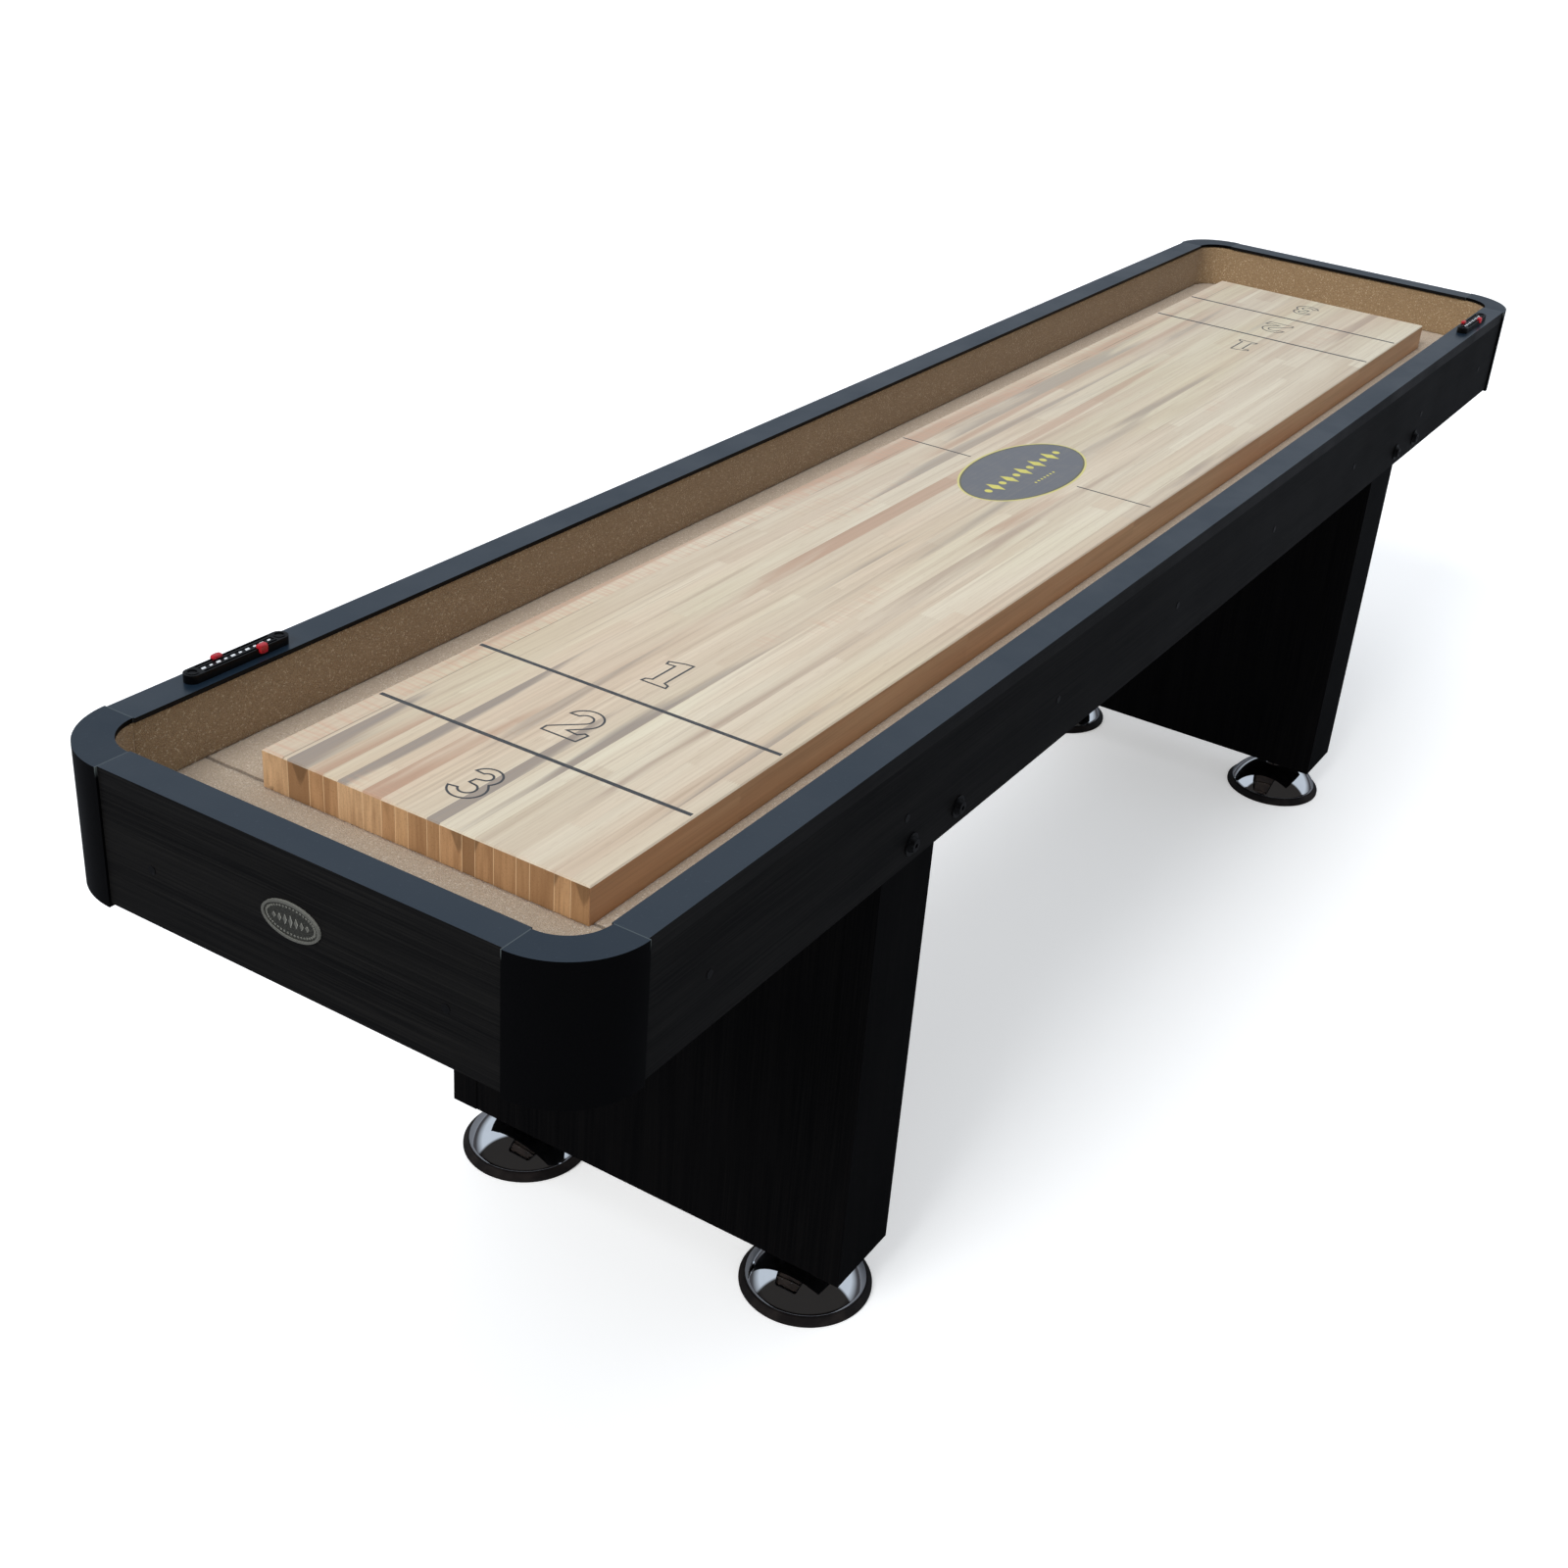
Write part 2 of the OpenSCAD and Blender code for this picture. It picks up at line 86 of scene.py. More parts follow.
class Nodes:
    """Adds nodes to a tree and links them."""

    def __init__(self, tree):
        self.tree = tree

    def plug(self, socket, value):
        if isinstance(value, bpy.types.NodeSocket):
            self.tree.links.new(value, socket)
        else:
            socket.default_value = value

    def add(self, kind, inputs=None, **settings):
        made = self.tree.nodes.new("ShaderNode" + kind)
        for key, value in settings.items():
            setattr(made, key, value)
        for key, value in (inputs or {}).items():
            self.plug(made.inputs[key], value)
        return made

    def math(self, operation, a, b=0.0, c=0.0):
        return self.add("Math", {0: a, 1: b, 2: c}, operation=operation).outputs[0]

    def split(self, vector):
        return self.add("SeparateXYZ", {0: vector}).outputs

    def join(self, x, y, z):
        return self.add("CombineXYZ", {0: x, 1: y, 2: z}).outputs[0]

    def mix(self, share, a, b, blend="MIX"):
        made = self.add("Mix", {0: share, 6: a, 7: b}, data_type="RGBA", blend_type=blend)
        return made.outputs[2]

    def ramp(self, value, stops, interpolation="LINEAR"):
        made = self.add("ValToRGB", {0: value})
        made.color_ramp.interpolation = interpolation
        points = made.color_ramp.elements
        while len(points) < len(stops):
            points.new(0.5)
        for point, (at, colour) in zip(points, stops):
            point.position = at
            point.color = colour
        return made.outputs[0]


class Shader(Nodes):
    """Grows the node tree of one material."""

    def __init__(self, name):
        self.material = bpy.data.materials.new(name)
        self.material.use_nodes = True
        super().__init__(self.material.node_tree)
        self.bsdf = self.tree.nodes["Principled BSDF"]
        self.place = self.add("TexCoord").outputs["Object"]
        self.normal = self.add("NewGeometry").outputs["Normal"]

    def stretched(self, x, y, z, offset=(0, 0, 0)):
        """The place on the object, scaled by a factor per axis."""
        scaled = self.add("VectorMath", {0: self.place, 1: (x, y, z)}, operation="MULTIPLY")
        moved = self.add("VectorMath", {0: scaled.outputs[0], 1: offset}, operation="ADD")
        return moved.outputs[0]

    def noise(self, vector, scale=1.0, detail=2.0, rough=0.5, distort=0.0):
        inputs = {"Vector": vector, "Scale": scale, "Detail": detail, "Roughness": rough}
        inputs["Distortion"] = distort
        return self.add("TexNoise", inputs).outputs[0]

    def cells(self, vector, scale):
        """Distance to the nearest of many scattered points, and a random value for each."""
        made = self.add("TexVoronoi", {"Vector": vector, "Scale": scale})
        return made.outputs["Distance"], made.outputs["Color"]

    def hash(self, x, y=0.0, z=0.0):
        return self.add("TexWhiteNoise", {"Vector": self.join(x, y, z)}).outputs["Value"]

    def step(self, value, low, high, to_low=0.0, to_high=1.0):
        """A smooth change from to_low to to_high as value goes from low to high."""
        made = self.add("MapRange", {0: value, 1: low, 2: high, 3: to_low, 4: to_high},
                        interpolation_type="SMOOTHSTEP")
        return made.outputs[0]

    def bump(self, height, strength, distance):
        inputs = {"Height": height, "Strength": strength, "Distance": distance}
        return self.add("Bump", inputs).outputs[0]

    def finish(self, **sockets):
        """Sets the surface's inputs, such as base_color or roughness, and returns the material."""
        for key, value in sockets.items():
            name = key.replace("_", " ").title().replace("Ior", "IOR")
            self.plug(self.bsdf.inputs[name], value)
        return self.material


def board_strips(s, y):
    """The board's strips of uneven width: a grey for each, and where two meet."""
    rng = random.Random(7)
    strip_count = 18
    widths = [rng.uniform(0.6, 1.4) for _ in range(strip_count)]
    total = sum(widths)
    stops, at = [], 0.0
    for i, w in enumerate(widths):
        grey = (i + 0.5) / strip_count
        stops.append((at, (grey, grey, grey, 1)))
        at += w / total
    width = board_high.y - board_low.y
    across = s.math("DIVIDE", s.math("SUBTRACT", y, board_low.y), width)
    strip = s.ramp(across, stops, "CONSTANT")
    beside = s.ramp(s.math("ADD", across, 0.7 * MM / width), stops, "CONSTANT")
    glue = s.math("GREATER_THAN", s.math("ABSOLUTE", s.math("SUBTRACT", strip, beside)), 0.01)
    return strip, glue


def strip_blocks(s, strip):
    """The blocks along each strip: two random values for each, and its small finger joints."""
    x, y, z = s.split(s.place)
    block_l = 0.46
    teeth = s.math("PINGPONG", s.math("ADD", y, s.math("MULTIPLY", z, 0.5)), 1.5 * MM)
    fingered = s.math("ADD", x, s.math("MULTIPLY", teeth, 3.0))
    start = s.math("MULTIPLY", s.hash(strip, 3.1), 5.0)
    run = s.math("ADD", s.math("DIVIDE", fingered, block_l), start)
    block = s.math("FLOOR", run)
    along = s.math("FRACT", run)
    edge = s.math("MINIMUM", along, s.math("SUBTRACT", 1.0, along))
    joint = s.step(edge, 0.0, 0.6 * MM / block_l, 1.0, 0.0)
    tone = s.hash(strip, block)
    second = s.hash(strip, block, 5.7)
    return tone, second, joint


def cross_flecks(s, y, top):
    """Pink flecks across the grain, here and there and all along the left edge strip."""
    edge_y = board_high.y - 27 * MM
    edge_strip = s.step(y, edge_y - 0.4 * MM, edge_y + 0.4 * MM)
    chatter = s.step(s.noise(s.stretched(210, 16, 16), 1.0, 2, 0.55), 0.45, 0.62)
    patch = s.step(s.noise(s.stretched(2.6, 13, 13, (7, 0, 0)), 1.0, 2), 0.60, 0.70, 0.0, 0.30)
    share = s.math("MAXIMUM", patch, s.math("MULTIPLY", edge_strip, 0.42))
    top = s.mix(s.math("MULTIPLY", chatter, share), top, srgb(204, 160, 132))
    split_at = s.math("ABSOLUTE", s.math("SUBTRACT", y, edge_y))
    broken = s.step(s.noise(s.stretched(4.5, 3, 3), 1.0, 2), 0.42, 0.52)
    crack = s.math("MULTIPLY", s.step(split_at, 0.9 * MM, 0.4 * MM), broken)
    return s.mix(s.math("MULTIPLY", crack, 0.55), top, srgb(88, 72, 58))


def end_grain(s, strip, glue):
    """End grain with bright glue lines, and a few dark wedges that hang from the top."""
    _, y, z = s.split(s.place)
    own = s.hash(strip, 8.3)
    lines = s.noise(s.stretched(1, 300, 16), 1.0, 3, 0.6, 0.2)
    pores = s.noise(s.stretched(1, 700, 500), 1.0, 2, 0.5)
    smear = s.noise(s.stretched(1, 62, 10, (0, 4, 2)), 1.0, 3, 0.6, 0.5)
    end = s.ramp(own, [
        (0.0, srgb(220, 181, 138)), (0.3, srgb(207, 165, 120)), (0.55, srgb(194, 150, 107)),
        (0.8, srgb(178, 137, 96)), (1.0, srgb(150, 113, 78)),
    ])
    end = s.mix(s.step(smear, 0.42, 0.75, 0.0, 0.62), end, srgb(150, 110, 74))
    end = s.mix(s.step(lines, 0.40, 0.72, 0.0, 0.34), end, srgb(138, 98, 62))
    end = s.mix(s.step(pores, 0.5, 0.8, 0.0, 0.30), end, srgb(112, 76, 46))
    end = s.mix(s.math("MULTIPLY", glue, 0.70), end, srgb(240, 208, 166))
    chips = s.noise(s.stretched(1, 95, 60, (0, 9, 0)), 1.0, 2, 0.6)
    low = s.step(z, board_low.z + 9 * MM, board_low.z, 0.0, 1.0)
    chip = s.math("MULTIPLY", s.step(chips, 0.64, 0.70), low)
    end = s.mix(s.math("MULTIPLY", chip, 0.75), end, srgb(62, 42, 28))
    from_top = s.math("SUBTRACT", board_top, z)
    wedge_w = s.math("SUBTRACT", 12 * MM, s.math("MULTIPLY", from_top, 0.42))
    hang = s.math("PINGPONG", s.math("ADD", y, s.math("MULTIPLY", own, 90 * MM)), 58 * MM)
    wedge = s.math("MULTIPLY", s.step(hang, wedge_w, s.math("SUBTRACT", wedge_w, 3 * MM)),
                   s.step(from_top, 28 * MM, 14 * MM))
    return s.mix(s.math("MULTIPLY", wedge, 0.55), end, srgb(92, 66, 42))


def maple():
    """End-jointed maple strips: long grain on top and sides, end grain on the ends."""
    s = Shader("maple")
    x, y, _ = s.split(s.place)
    strip, glue = board_strips(s, y)
    tone, second, joint = strip_blocks(s, strip)

    def shifted(scales, by):
        return s.add("VectorMath", {0: s.stretched(*scales), 1: by}, operation="ADD").outputs[0]

    # pale wood with long tapered streaks of grey brown heartwood
    by_block = s.join(s.math("MULTIPLY", second, 9.0), s.math("MULTIPLY", tone, 7.0), 0.0)
    by_strip = s.join(s.math("MULTIPLY", strip, 37.0), s.math("MULTIPLY", strip, 11.0), 0.0)
    wide = s.noise(shifted((0.9, 16, 16), by_block), 1.6, 3, 0.55, 0.6)
    fine = s.noise(s.stretched(5, 330, 330), 1.0, 4, 0.6, 0.2)
    fleck = s.noise(s.stretched(45, 420, 420), 1.0, 2, 0.5)
    pale = s.ramp(tone, [
        (0.0, srgb(222, 211, 188)), (0.3, srgb(213, 199, 176)), (0.55, srgb(225, 214, 191)),
        (0.8, srgb(216, 199, 175)), (1.0, srgb(206, 190, 168)),
    ])
    warm = s.noise(s.stretched(1.2, 7, 7, (3, 1, 0)), 1.2, 3)
    top = s.mix(s.step(warm, 0.42, 0.70, 0.0, 0.46), pale, srgb(214, 187, 160))
    cool = s.noise(s.stretched(1.1, 6, 6, (2, 5, 0)), 1.3, 2)
    top = s.mix(s.step(cool, 0.46, 0.70, 0.0, 0.34), top, srgb(212, 204, 164))
    top = s.mix(s.step(wide, 0.46, 0.62, 0.0, 0.34), top, srgb(194, 172, 146))
    heart_run = s.noise(shifted((1.05, 17, 17), by_strip), 1.0, 4, 0.48, 0.45)
    heart_more = s.step(x, -0.5, -1.1, 0.0, 0.026)
    heart = s.step(s.math("ADD", heart_run, heart_more), 0.548, 0.655)
    grey_or_brown = s.step(s.hash(strip, 2.2), 0.45, 0.55)
    heart_colour = s.mix(grey_or_brown, srgb(146, 134, 124), srgb(182, 144, 118))
    near_end = s.step(x, 0.2, -1.0, 0.62, 0.92)
    top = s.mix(s.math("MULTIPLY", heart, near_end), top, heart_colour)
    vein = s.noise(shifted((1.8, 120, 120), by_strip), 1.0, 3, 0.6, 0.3)
    top = s.mix(s.step(vein, 0.56, 0.72, 0.0, 0.34), top, srgb(158, 132, 110))
    top = s.mix(s.step(fine, 0.35, 0.72, 0.0, 0.26), top, srgb(176, 152, 126))
    top = s.mix(s.step(fleck, 0.60, 0.74, 0.0, 0.16), top, srgb(160, 130, 104))
    top = cross_flecks(s, y, top)
    top = s.mix(s.math("MULTIPLY", glue, 0.13), top, srgb(150, 122, 94))
    top = s.mix(s.math("MULTIPLY", joint, 0.16), top, srgb(140, 112, 88))

    # long sides: the wood's own orange brown, painted lighter than it is to stand in for light that the
    # shaded gutter keeps off them
    side = s.mix(tone, srgb(196, 156, 116), srgb(180, 140, 102))
    side = s.mix(s.step(wide, 0.35, 0.7, 0.0, 0.6), side, srgb(222, 182, 140))
    side = s.mix(s.step(warm, 0.40, 0.62, 0.0, 0.6), side, srgb(198, 138, 92))
    side = s.mix(s.step(fine, 0.35, 0.75, 0.0, 0.30), side, srgb(146, 108, 74))

    nx, ny, _ = s.split(s.normal)
    on_side = s.step(s.math("ABSOLUTE", ny), 0.75, 0.9)
    on_end = s.step(s.math("ABSOLUTE", nx), 0.75, 0.9)
    colour = s.mix(on_end, s.mix(on_side, top, side), end_grain(s, strip, glue))
    rough = s.mix(on_end, s.ramp(fine, [(0.0, (0.30,) * 3 + (1,)), (1.0, (0.42,) * 3 + (1,))]),
                  (0.62, 0.62, 0.62, 1))
    height = s.math("ADD", s.math("MULTIPLY", fine, 0.5), s.math("MULTIPLY", joint, -0.6))
    return s.finish(base_color=colour, roughness=rough, normal=s.bump(height, 0.12, 0.4 * MM),
                    specular_ior_level=0.38, coat_weight=0.12, coat_roughness=0.25)


def stained_wood():
    """Rough sawn wood with a dark stain, for the parts underneath."""
    s = Shader("stained_wood")
    grain = s.noise(s.stretched(6, 3, 140), 1.0, 4, 0.6, 0.5)
    cloud = s.noise(s.stretched(3, 3, 6), 1.0, 2)
    colour = s.mix(s.step(grain, 0.3, 0.75), srgb(62, 48, 38), srgb(36, 27, 21))
    colour = s.mix(s.step(cloud, 0.4, 0.7, 0.0, 0.3), colour, srgb(74, 58, 46))
    return s.finish(base_color=colour, roughness=0.72, normal=s.bump(grain, 0.3, 0.5 * MM))


def carpet(name, dark, mid, light, fleck_colour, seam_at=None):
    """Short looped pile: small round tufts, flecked, with painted shade between the tufts. seam_at is the X
    of a dark joint line.
    """
    s = Shader(name)
    near, own = s.cells(s.place, 640.0)
    tuft = s.step(near, 0.75, 0.05)
    loops = s.noise(s.place, 1300.0, 3, 0.7)
    cloud = s.noise(s.place, 16.0, 3, 0.6)
    tone = s.split(own)[0]
    colour = s.mix(tone, dark, mid)
    colour = s.mix(s.step(loops, 0.42, 0.72), colour, light)
    colour = s.mix(s.step(tone, 0.90, 0.97, 0.0, 0.6), colour, fleck_colour)
    # painted shade: darker between the tufts, away from their centres
    colour = s.mix(s.math("MULTIPLY", s.step(near, 0.35, 0.95), 0.30), colour, dark, "MULTIPLY")
    colour = s.mix(s.step(cloud, 0.35, 0.7, 0.0, 0.14), colour, dark)
    if seam_at is not None:
        x = s.split(s.place)[0]
        ragged = s.math("MULTIPLY", s.math("SUBTRACT", s.noise(s.place, 90.0, 2), 0.5), 3 * MM)
        off = s.math("ABSOLUTE", s.math("ADD", s.math("SUBTRACT", x, seam_at), ragged))
        colour = s.mix(s.step(off, 3.2 * MM, 1.2 * MM, 0.0, 0.62), colour, srgb(70, 54, 40))
    height = s.math("ADD", tuft, s.math("MULTIPLY", loops, 0.6))
    return s.finish(base_color=colour, roughness=0.95, specular_ior_level=0.15,
                    sheen_weight=0.2, sheen_roughness=0.5, normal=s.bump(height, 0.7, 0.9 * MM))


def black_foil(s, along, low, high):
    """A fine printed grain that runs level (along = "run") or upright (along = "rise")."""
    x, y, z = s.split(s.place)
    ends = s.step(s.math("ABSOLUTE", s.split(s.normal)[0]), 0.4, 0.6)
    rest = s.math("SUBTRACT", 1.0, ends)
    level = s.math("ADD", s.math("MULTIPLY", x, rest), s.math("MULTIPLY", y, ends))
    long_way, cross_way = (level, z) if along == "run" else (z, level)

    def streaks(along_scale, cross_scale, *noise_settings):
        place = s.join(s.math("MULTIPLY", long_way, along_scale),
                       s.math("MULTIPLY", cross_way, cross_scale), 0.0)
        return s.noise(place, 1.0, *noise_settings)

    pores = streaks(5.0, 520.0, 4, 0.65, 0.15)
    bands = streaks(1.1, 34.0, 3, 0.55, 0.4)
    colour = s.mix(s.step(pores, 0.35, 0.75), low, high)
    return s.mix(s.step(bands, 0.4, 0.75, 0.0, 0.45), colour, high), pores


def laminate(name, along, low, high, roughness, shine):
    """Black foil on board, with faint smudges in its gloss."""
    s = Shader(name)
    colour, pores = black_foil(s, along, low, high)
    smudge = s.noise(s.place, 5.0, 3, 0.6)
    rough = s.math("ADD", roughness, s.math("MULTIPLY", s.math("SUBTRACT", smudge, 0.5), 0.16))
    return s.finish(base_color=colour, roughness=rough, specular_ior_level=shine,
                    normal=s.bump(pores, 0.35, 0.25 * MM))


def painted_sky_top(s, under):
    """The top faces' painted sky reflection: a slate blue over another colour, with a faint cloud and dust.
    """
    up = s.step(s.split(s.normal)[2], 0.45, 0.85)
    cloud = s.noise(s.place, 7.0, 4, 0.6)
    dust = s.noise(s.place, 260.0, 3, 0.7)
    # painted reflection: slate blue on faces that look up, standing in for the pale sky mirrored in the
    # black
    painted_sky_and_dust = s.mix(cloud, srgb(18, 31, 43), srgb(27, 41, 54))
    painted_sky_and_dust = s.mix(s.step(dust, 0.60, 0.75, 0.0, 0.10), painted_sky_and_dust, srgb(110, 120, 132))
    return s.mix(up, under, painted_sky_and_dust), up, cloud, dust


def rail_laminate():
    s = Shader("rail_laminate")
    foil, _ = black_foil(s, "run", FOIL_LOW, FOIL_HIGH)
    # painted sky reflection in slate blue on the rail tops
    colour, up, cloud, dust = painted_sky_top(s, foil)
    grain = s.noise(s.stretched(60, 60, 400), 1.0, 3, 0.6)
    rough = s.step(cloud, 0.3, 0.7, 0.28, 0.40)
    height = s.math("ADD", s.math("MULTIPLY", grain, 0.6), dust)
    return s.finish(base_color=colour, roughness=rough,
                    specular_ior_level=s.math("ADD", 0.045, s.math("MULTIPLY", up, 0.42)),
                    normal=s.bump(height, 0.10, 0.3 * MM))


def corner_plastic():
    """Moulded black with a fine spark grain, a slate blue painted sky reflection on its cap and painted
    highlights as pale lines along its seams.
    """
    s = Shader("corner_plastic")
    colour, up, cloud, dust = painted_sky_top(s, srgb(6, 6, 7))
    x, y, z = s.split(s.place)
    # painted highlight: pale lines where the seams' edges would catch the light, stronger near the top
    joint_x = s.step(s.math("ABSOLUTE", x), straight_x + 1.2 * MM, straight_x + 0.5 * MM)
    joint_y = s.step(s.math("ABSOLUTE", y), straight_y + 1.2 * MM, straight_y + 0.5 * MM)
    high = s.step(z, rail_high.z - 12 * MM, rail_high.z - 2 * MM, 0.0, 0.38)
    painted_seam_highlight = s.math("MULTIPLY", s.math("MAXIMUM", joint_x, joint_y), high)
    colour = s.mix(painted_seam_highlight, colour, srgb(118, 126, 124))
    spark = s.noise(s.place, 900.0, 2, 0.6)
    rough = s.step(cloud, 0.3, 0.7, 0.40, 0.50)
    return s.finish(base_color=colour, roughness=rough,
                    specular_ior_level=s.math("ADD", 0.03, s.math("MULTIPLY", up, 0.40)),
                    normal=s.bump(s.math("ADD", spark, dust), 0.18, 0.25 * MM))


def metal(name, tint, roughness, brushed=0.0):
    s = Shader(name)
    smudge = s.noise(s.place, 40.0, 3, 0.6)
    rough = s.math("ADD", roughness, s.math("MULTIPLY", s.step(smudge, 0.4, 0.8), roughness * 0.8))
    dull = (*[v * 0.6 for v in tint[:3]], 1)
    colour = s.mix(s.step(smudge, 0.3, 0.8, 0.0, 0.12), tint, dull)
    if brushed:
        scratch = s.noise(s.stretched(900, 60, 900), 1.0, 3, 0.6)
        s.finish(normal=s.bump(scratch, brushed, 0.1 * MM))
    return s.finish(base_color=colour, metallic=1.0, roughness=rough)


def badge_metal():
    """Brushed pewter, blackened in the sunken field behind the relief."""
    s = Shader("badge_metal")
    out = s.math("ABSOLUTE", s.split(s.place)[0])
    raised = s.step(out, badge_floor_x + 0.15 * MM, badge_floor_x + 0.55 * MM, 0.0, 0.55)
    bevel = s.step(s.math("ABSOLUTE", s.split(s.normal)[0]), 0.95, 0.6)
    worn = s.noise(s.place, 700.0, 3, 0.65)
    brushed = s.noise(s.stretched(60, 60, 1500), 1.0, 3, 0.6)
    field = s.mix(s.step(worn, 0.4, 0.75), srgb(54, 54, 49), srgb(84, 83, 76))
    bright = s.mix(s.step(worn, 0.4, 0.8), srgb(152, 151, 142), srgb(112, 110, 103))
    colour = s.mix(raised, field, bright)
    return s.finish(base_color=s.mix(bevel, colour, srgb(196, 195, 184)), metallic=0.6,
                    roughness=s.step(worn, 0.3, 0.8, 0.26, 0.42),
                    normal=s.bump(brushed, 0.2, 0.1 * MM))


def black_steel():
    s = Shader("black_steel")
    worn = s.noise(s.place, 240.0, 3, 0.65)
    colour = s.mix(s.step(worn, 0.5, 0.78), srgb(9, 9, 10), srgb(28, 28, 30))
    rough = s.step(worn, 0.3, 0.8, 0.30, 0.5)
    return s.finish(base_color=colour, roughness=rough, specular_ior_level=0.12,
                    normal=s.bump(worn, 0.15, 0.2 * MM))


def rubber():
    s = Shader("pad_rubber")
    grain = s.noise(s.place, 700.0, 3, 0.7)
    cloud = s.noise(s.place, 30.0, 3, 0.6)
    colour = s.mix(s.step(cloud, 0.4, 0.75), srgb(24, 21, 21), srgb(40, 35, 33))
    return s.finish(base_color=colour, roughness=0.62, specular_ior_level=0.2,
                    normal=s.bump(grain, 0.25, 0.3 * MM))


def plastic(name, colour, shade, roughness, shine=0.5, coat=0.0, subsurface=0.0):
    s = Shader(name)
    cloud = s.noise(s.place, 160.0, 3, 0.6)
    spark = s.noise(s.place, 1500.0, 2, 0.5)
    mixed = s.mix(s.step(cloud, 0.35, 0.75), colour, shade)
    rough = s.step(cloud, 0.3, 0.8, roughness, roughness + 0.12)
    return s.finish(base_color=mixed, roughness=rough, specular_ior_level=shine,
                    coat_weight=coat, subsurface_weight=subsurface, subsurface_scale=2 * MM,
                    normal=s.bump(spark, 0.08, 0.1 * MM))


def ink(name, colour, worn_colour, amount):
    """Printed colour, a little worn so that the wood's grain shows through."""
    s = Shader(name)
    grain = s.noise(s.stretched(5, 330, 330), 1.0, 4, 0.6, 0.2)
    cloud = s.noise(s.place, 60.0, 3, 0.6)
    worn = s.math("MULTIPLY", s.step(s.math("ADD", s.math("MULTIPLY", grain, 0.6),
                                            s.math("MULTIPLY", cloud, 0.4)), 0.45, 0.68), amount)
    return s.finish(base_color=s.mix(worn, colour, worn_colour), roughness=0.4,
                    coat_weight=0.25, coat_roughness=0.22)


FOIL_LOW, FOIL_HIGH = srgb(11, 11, 12), srgb(28, 27, 26)
MATERIALS = {
    "maple": maple(),
    "stained_wood": stained_wood(),
    "gutter_carpet": carpet("gutter_carpet", srgb(176, 156, 134), srgb(196, 177, 154),
                            srgb(214, 197, 175), srgb(226, 214, 197), seam_x),
    "wall_carpet": carpet("wall_carpet", srgb(136, 110, 80), srgb(162, 135, 101),
                          srgb(187, 162, 126), srgb(216, 197, 166)),
    "black_laminate": laminate("black_laminate", "run", FOIL_LOW, FOIL_HIGH, 0.50, 0.045),
    "leg_laminate": laminate("leg_laminate", "rise", srgb(6, 6, 7), srgb(15, 14, 14), 0.52, 0.02),
    "rail_laminate": rail_laminate(),
    "corner_plastic": corner_plastic(),
    "badge_metal": badge_metal(),
    "black_steel": black_steel(),
    "zinc_steel": metal("zinc_steel", srgb(196, 198, 202), 0.30, 0.15),
    "pad_rubber": rubber(),
    "chrome": metal("chrome", srgb(238, 240, 243), 0.035),
    "scorer_plastic": plastic("scorer_plastic", srgb(7, 7, 8), srgb(13, 13, 15), 0.30, 0.12),
    "marker_plastic": plastic("marker_plastic", srgb(186, 28, 40), srgb(150, 16, 28), 0.22, 0.5, 0.4, 0.15),
}
LINE_INK = ink("line_ink", srgb(44, 45, 48), srgb(84, 80, 76), 0.5)
FIELD_INK = ink("field_ink", srgb(98, 99, 104), srgb(118, 114, 110), 0.5)
RING_INK = ink("ring_ink", srgb(92, 88, 58), srgb(120, 112, 84), 0.5)
HALO_INK = ink("halo_ink", srgb(212, 202, 122), srgb(208, 192, 140), 0.8)
GOLD_INK = ink("gold_ink", srgb(214, 204, 96), srgb(176, 168, 90), 0.5)
WHITE_INK = plastic("white_ink", srgb(226, 228, 230), srgb(200, 204, 208), 0.4)

for part in frame["record"]["subparts"]:
    shape = frame["nodes"][part["node"]]
    shape.data.materials.clear()
    shape.data.materials.append(MATERIALS[part["material_slot"]])


# Mesh helpers -----------------------------------------------------------------------------------


def piece(name, points, faces, material, slot, body="table", smooth=True):
    """A new mesh in the row frame that rides on a body."""
    mesh = bpy.data.meshes.new(name)
    mesh.from_pydata([tuple(p) for p in points], [], faces)
    mesh.validate()
    mesh.materials.append(material)
    made = bpy.data.objects.new(name, mesh)
    bpy.context.scene.collection.objects.link(made)
    if smooth:
        mesh.shade_smooth()
    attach(made, body)
    return made


def arc(cx, cy, radius, start, stop, steps=12):
    """Points on an arc, with its angles in degrees."""
    turns = [math.radians(start + (stop - start) * i / steps) for i in range(steps + 1)]
    return [(cx + radius * math.cos(t), cy + radius * math.sin(t)) for t in turns]


def lathe(outline, centre, segments=96):
    """Points and faces of an outline turned about an upright axis. The outline holds (radius, height),
    and starts and ends on the axis."""
    points, faces, rows = [], [], []
    for radius, height in outline:
        if radius < 1e-7:
            rows.append([len(points)] * segments)
            points.append((centre[0], centre[1], height))
            continue
        rows.append(list(range(len(points), len(points) + segments)))
        for i in range(segments):
            t = 2 * math.pi * i / segments
            points.append((centre[0] + radius * math.cos(t), centre[1] + radius * math.sin(t), height))
    for low, high in zip(rows, rows[1:]):
        for i in range(segments):
            j = (i + 1) % segments
            corners = [low[i], low[j], high[j], high[i]]
            face = [c for k, c in enumerate(corners) if c != corners[k - 1]]
            if len(face) > 2:
                faces.append(face)
    return points, faces


def sharpen(made, angle=35):
    """Keeps edges above an angle crisp, with the rest smooth."""
    made.data.set_sharp_from_angle(angle=math.radians(angle))


def soften(node, width, segments=2):
    """Rounds a CAD board's edges a little."""
    edge = frame["nodes"][node].modifiers.new("soft_edges", "BEVEL")
    edge.width = width
    edge.segments = segments
    edge.limit_method = "ANGLE"
    edge.angle_limit = math.radians(50)
    edge.use_clamp_overlap = False
    edge.harden_normals = True


# Carpets ----------------------------------------------------------------------------------------

WALL_STEP = 2.4 * MM


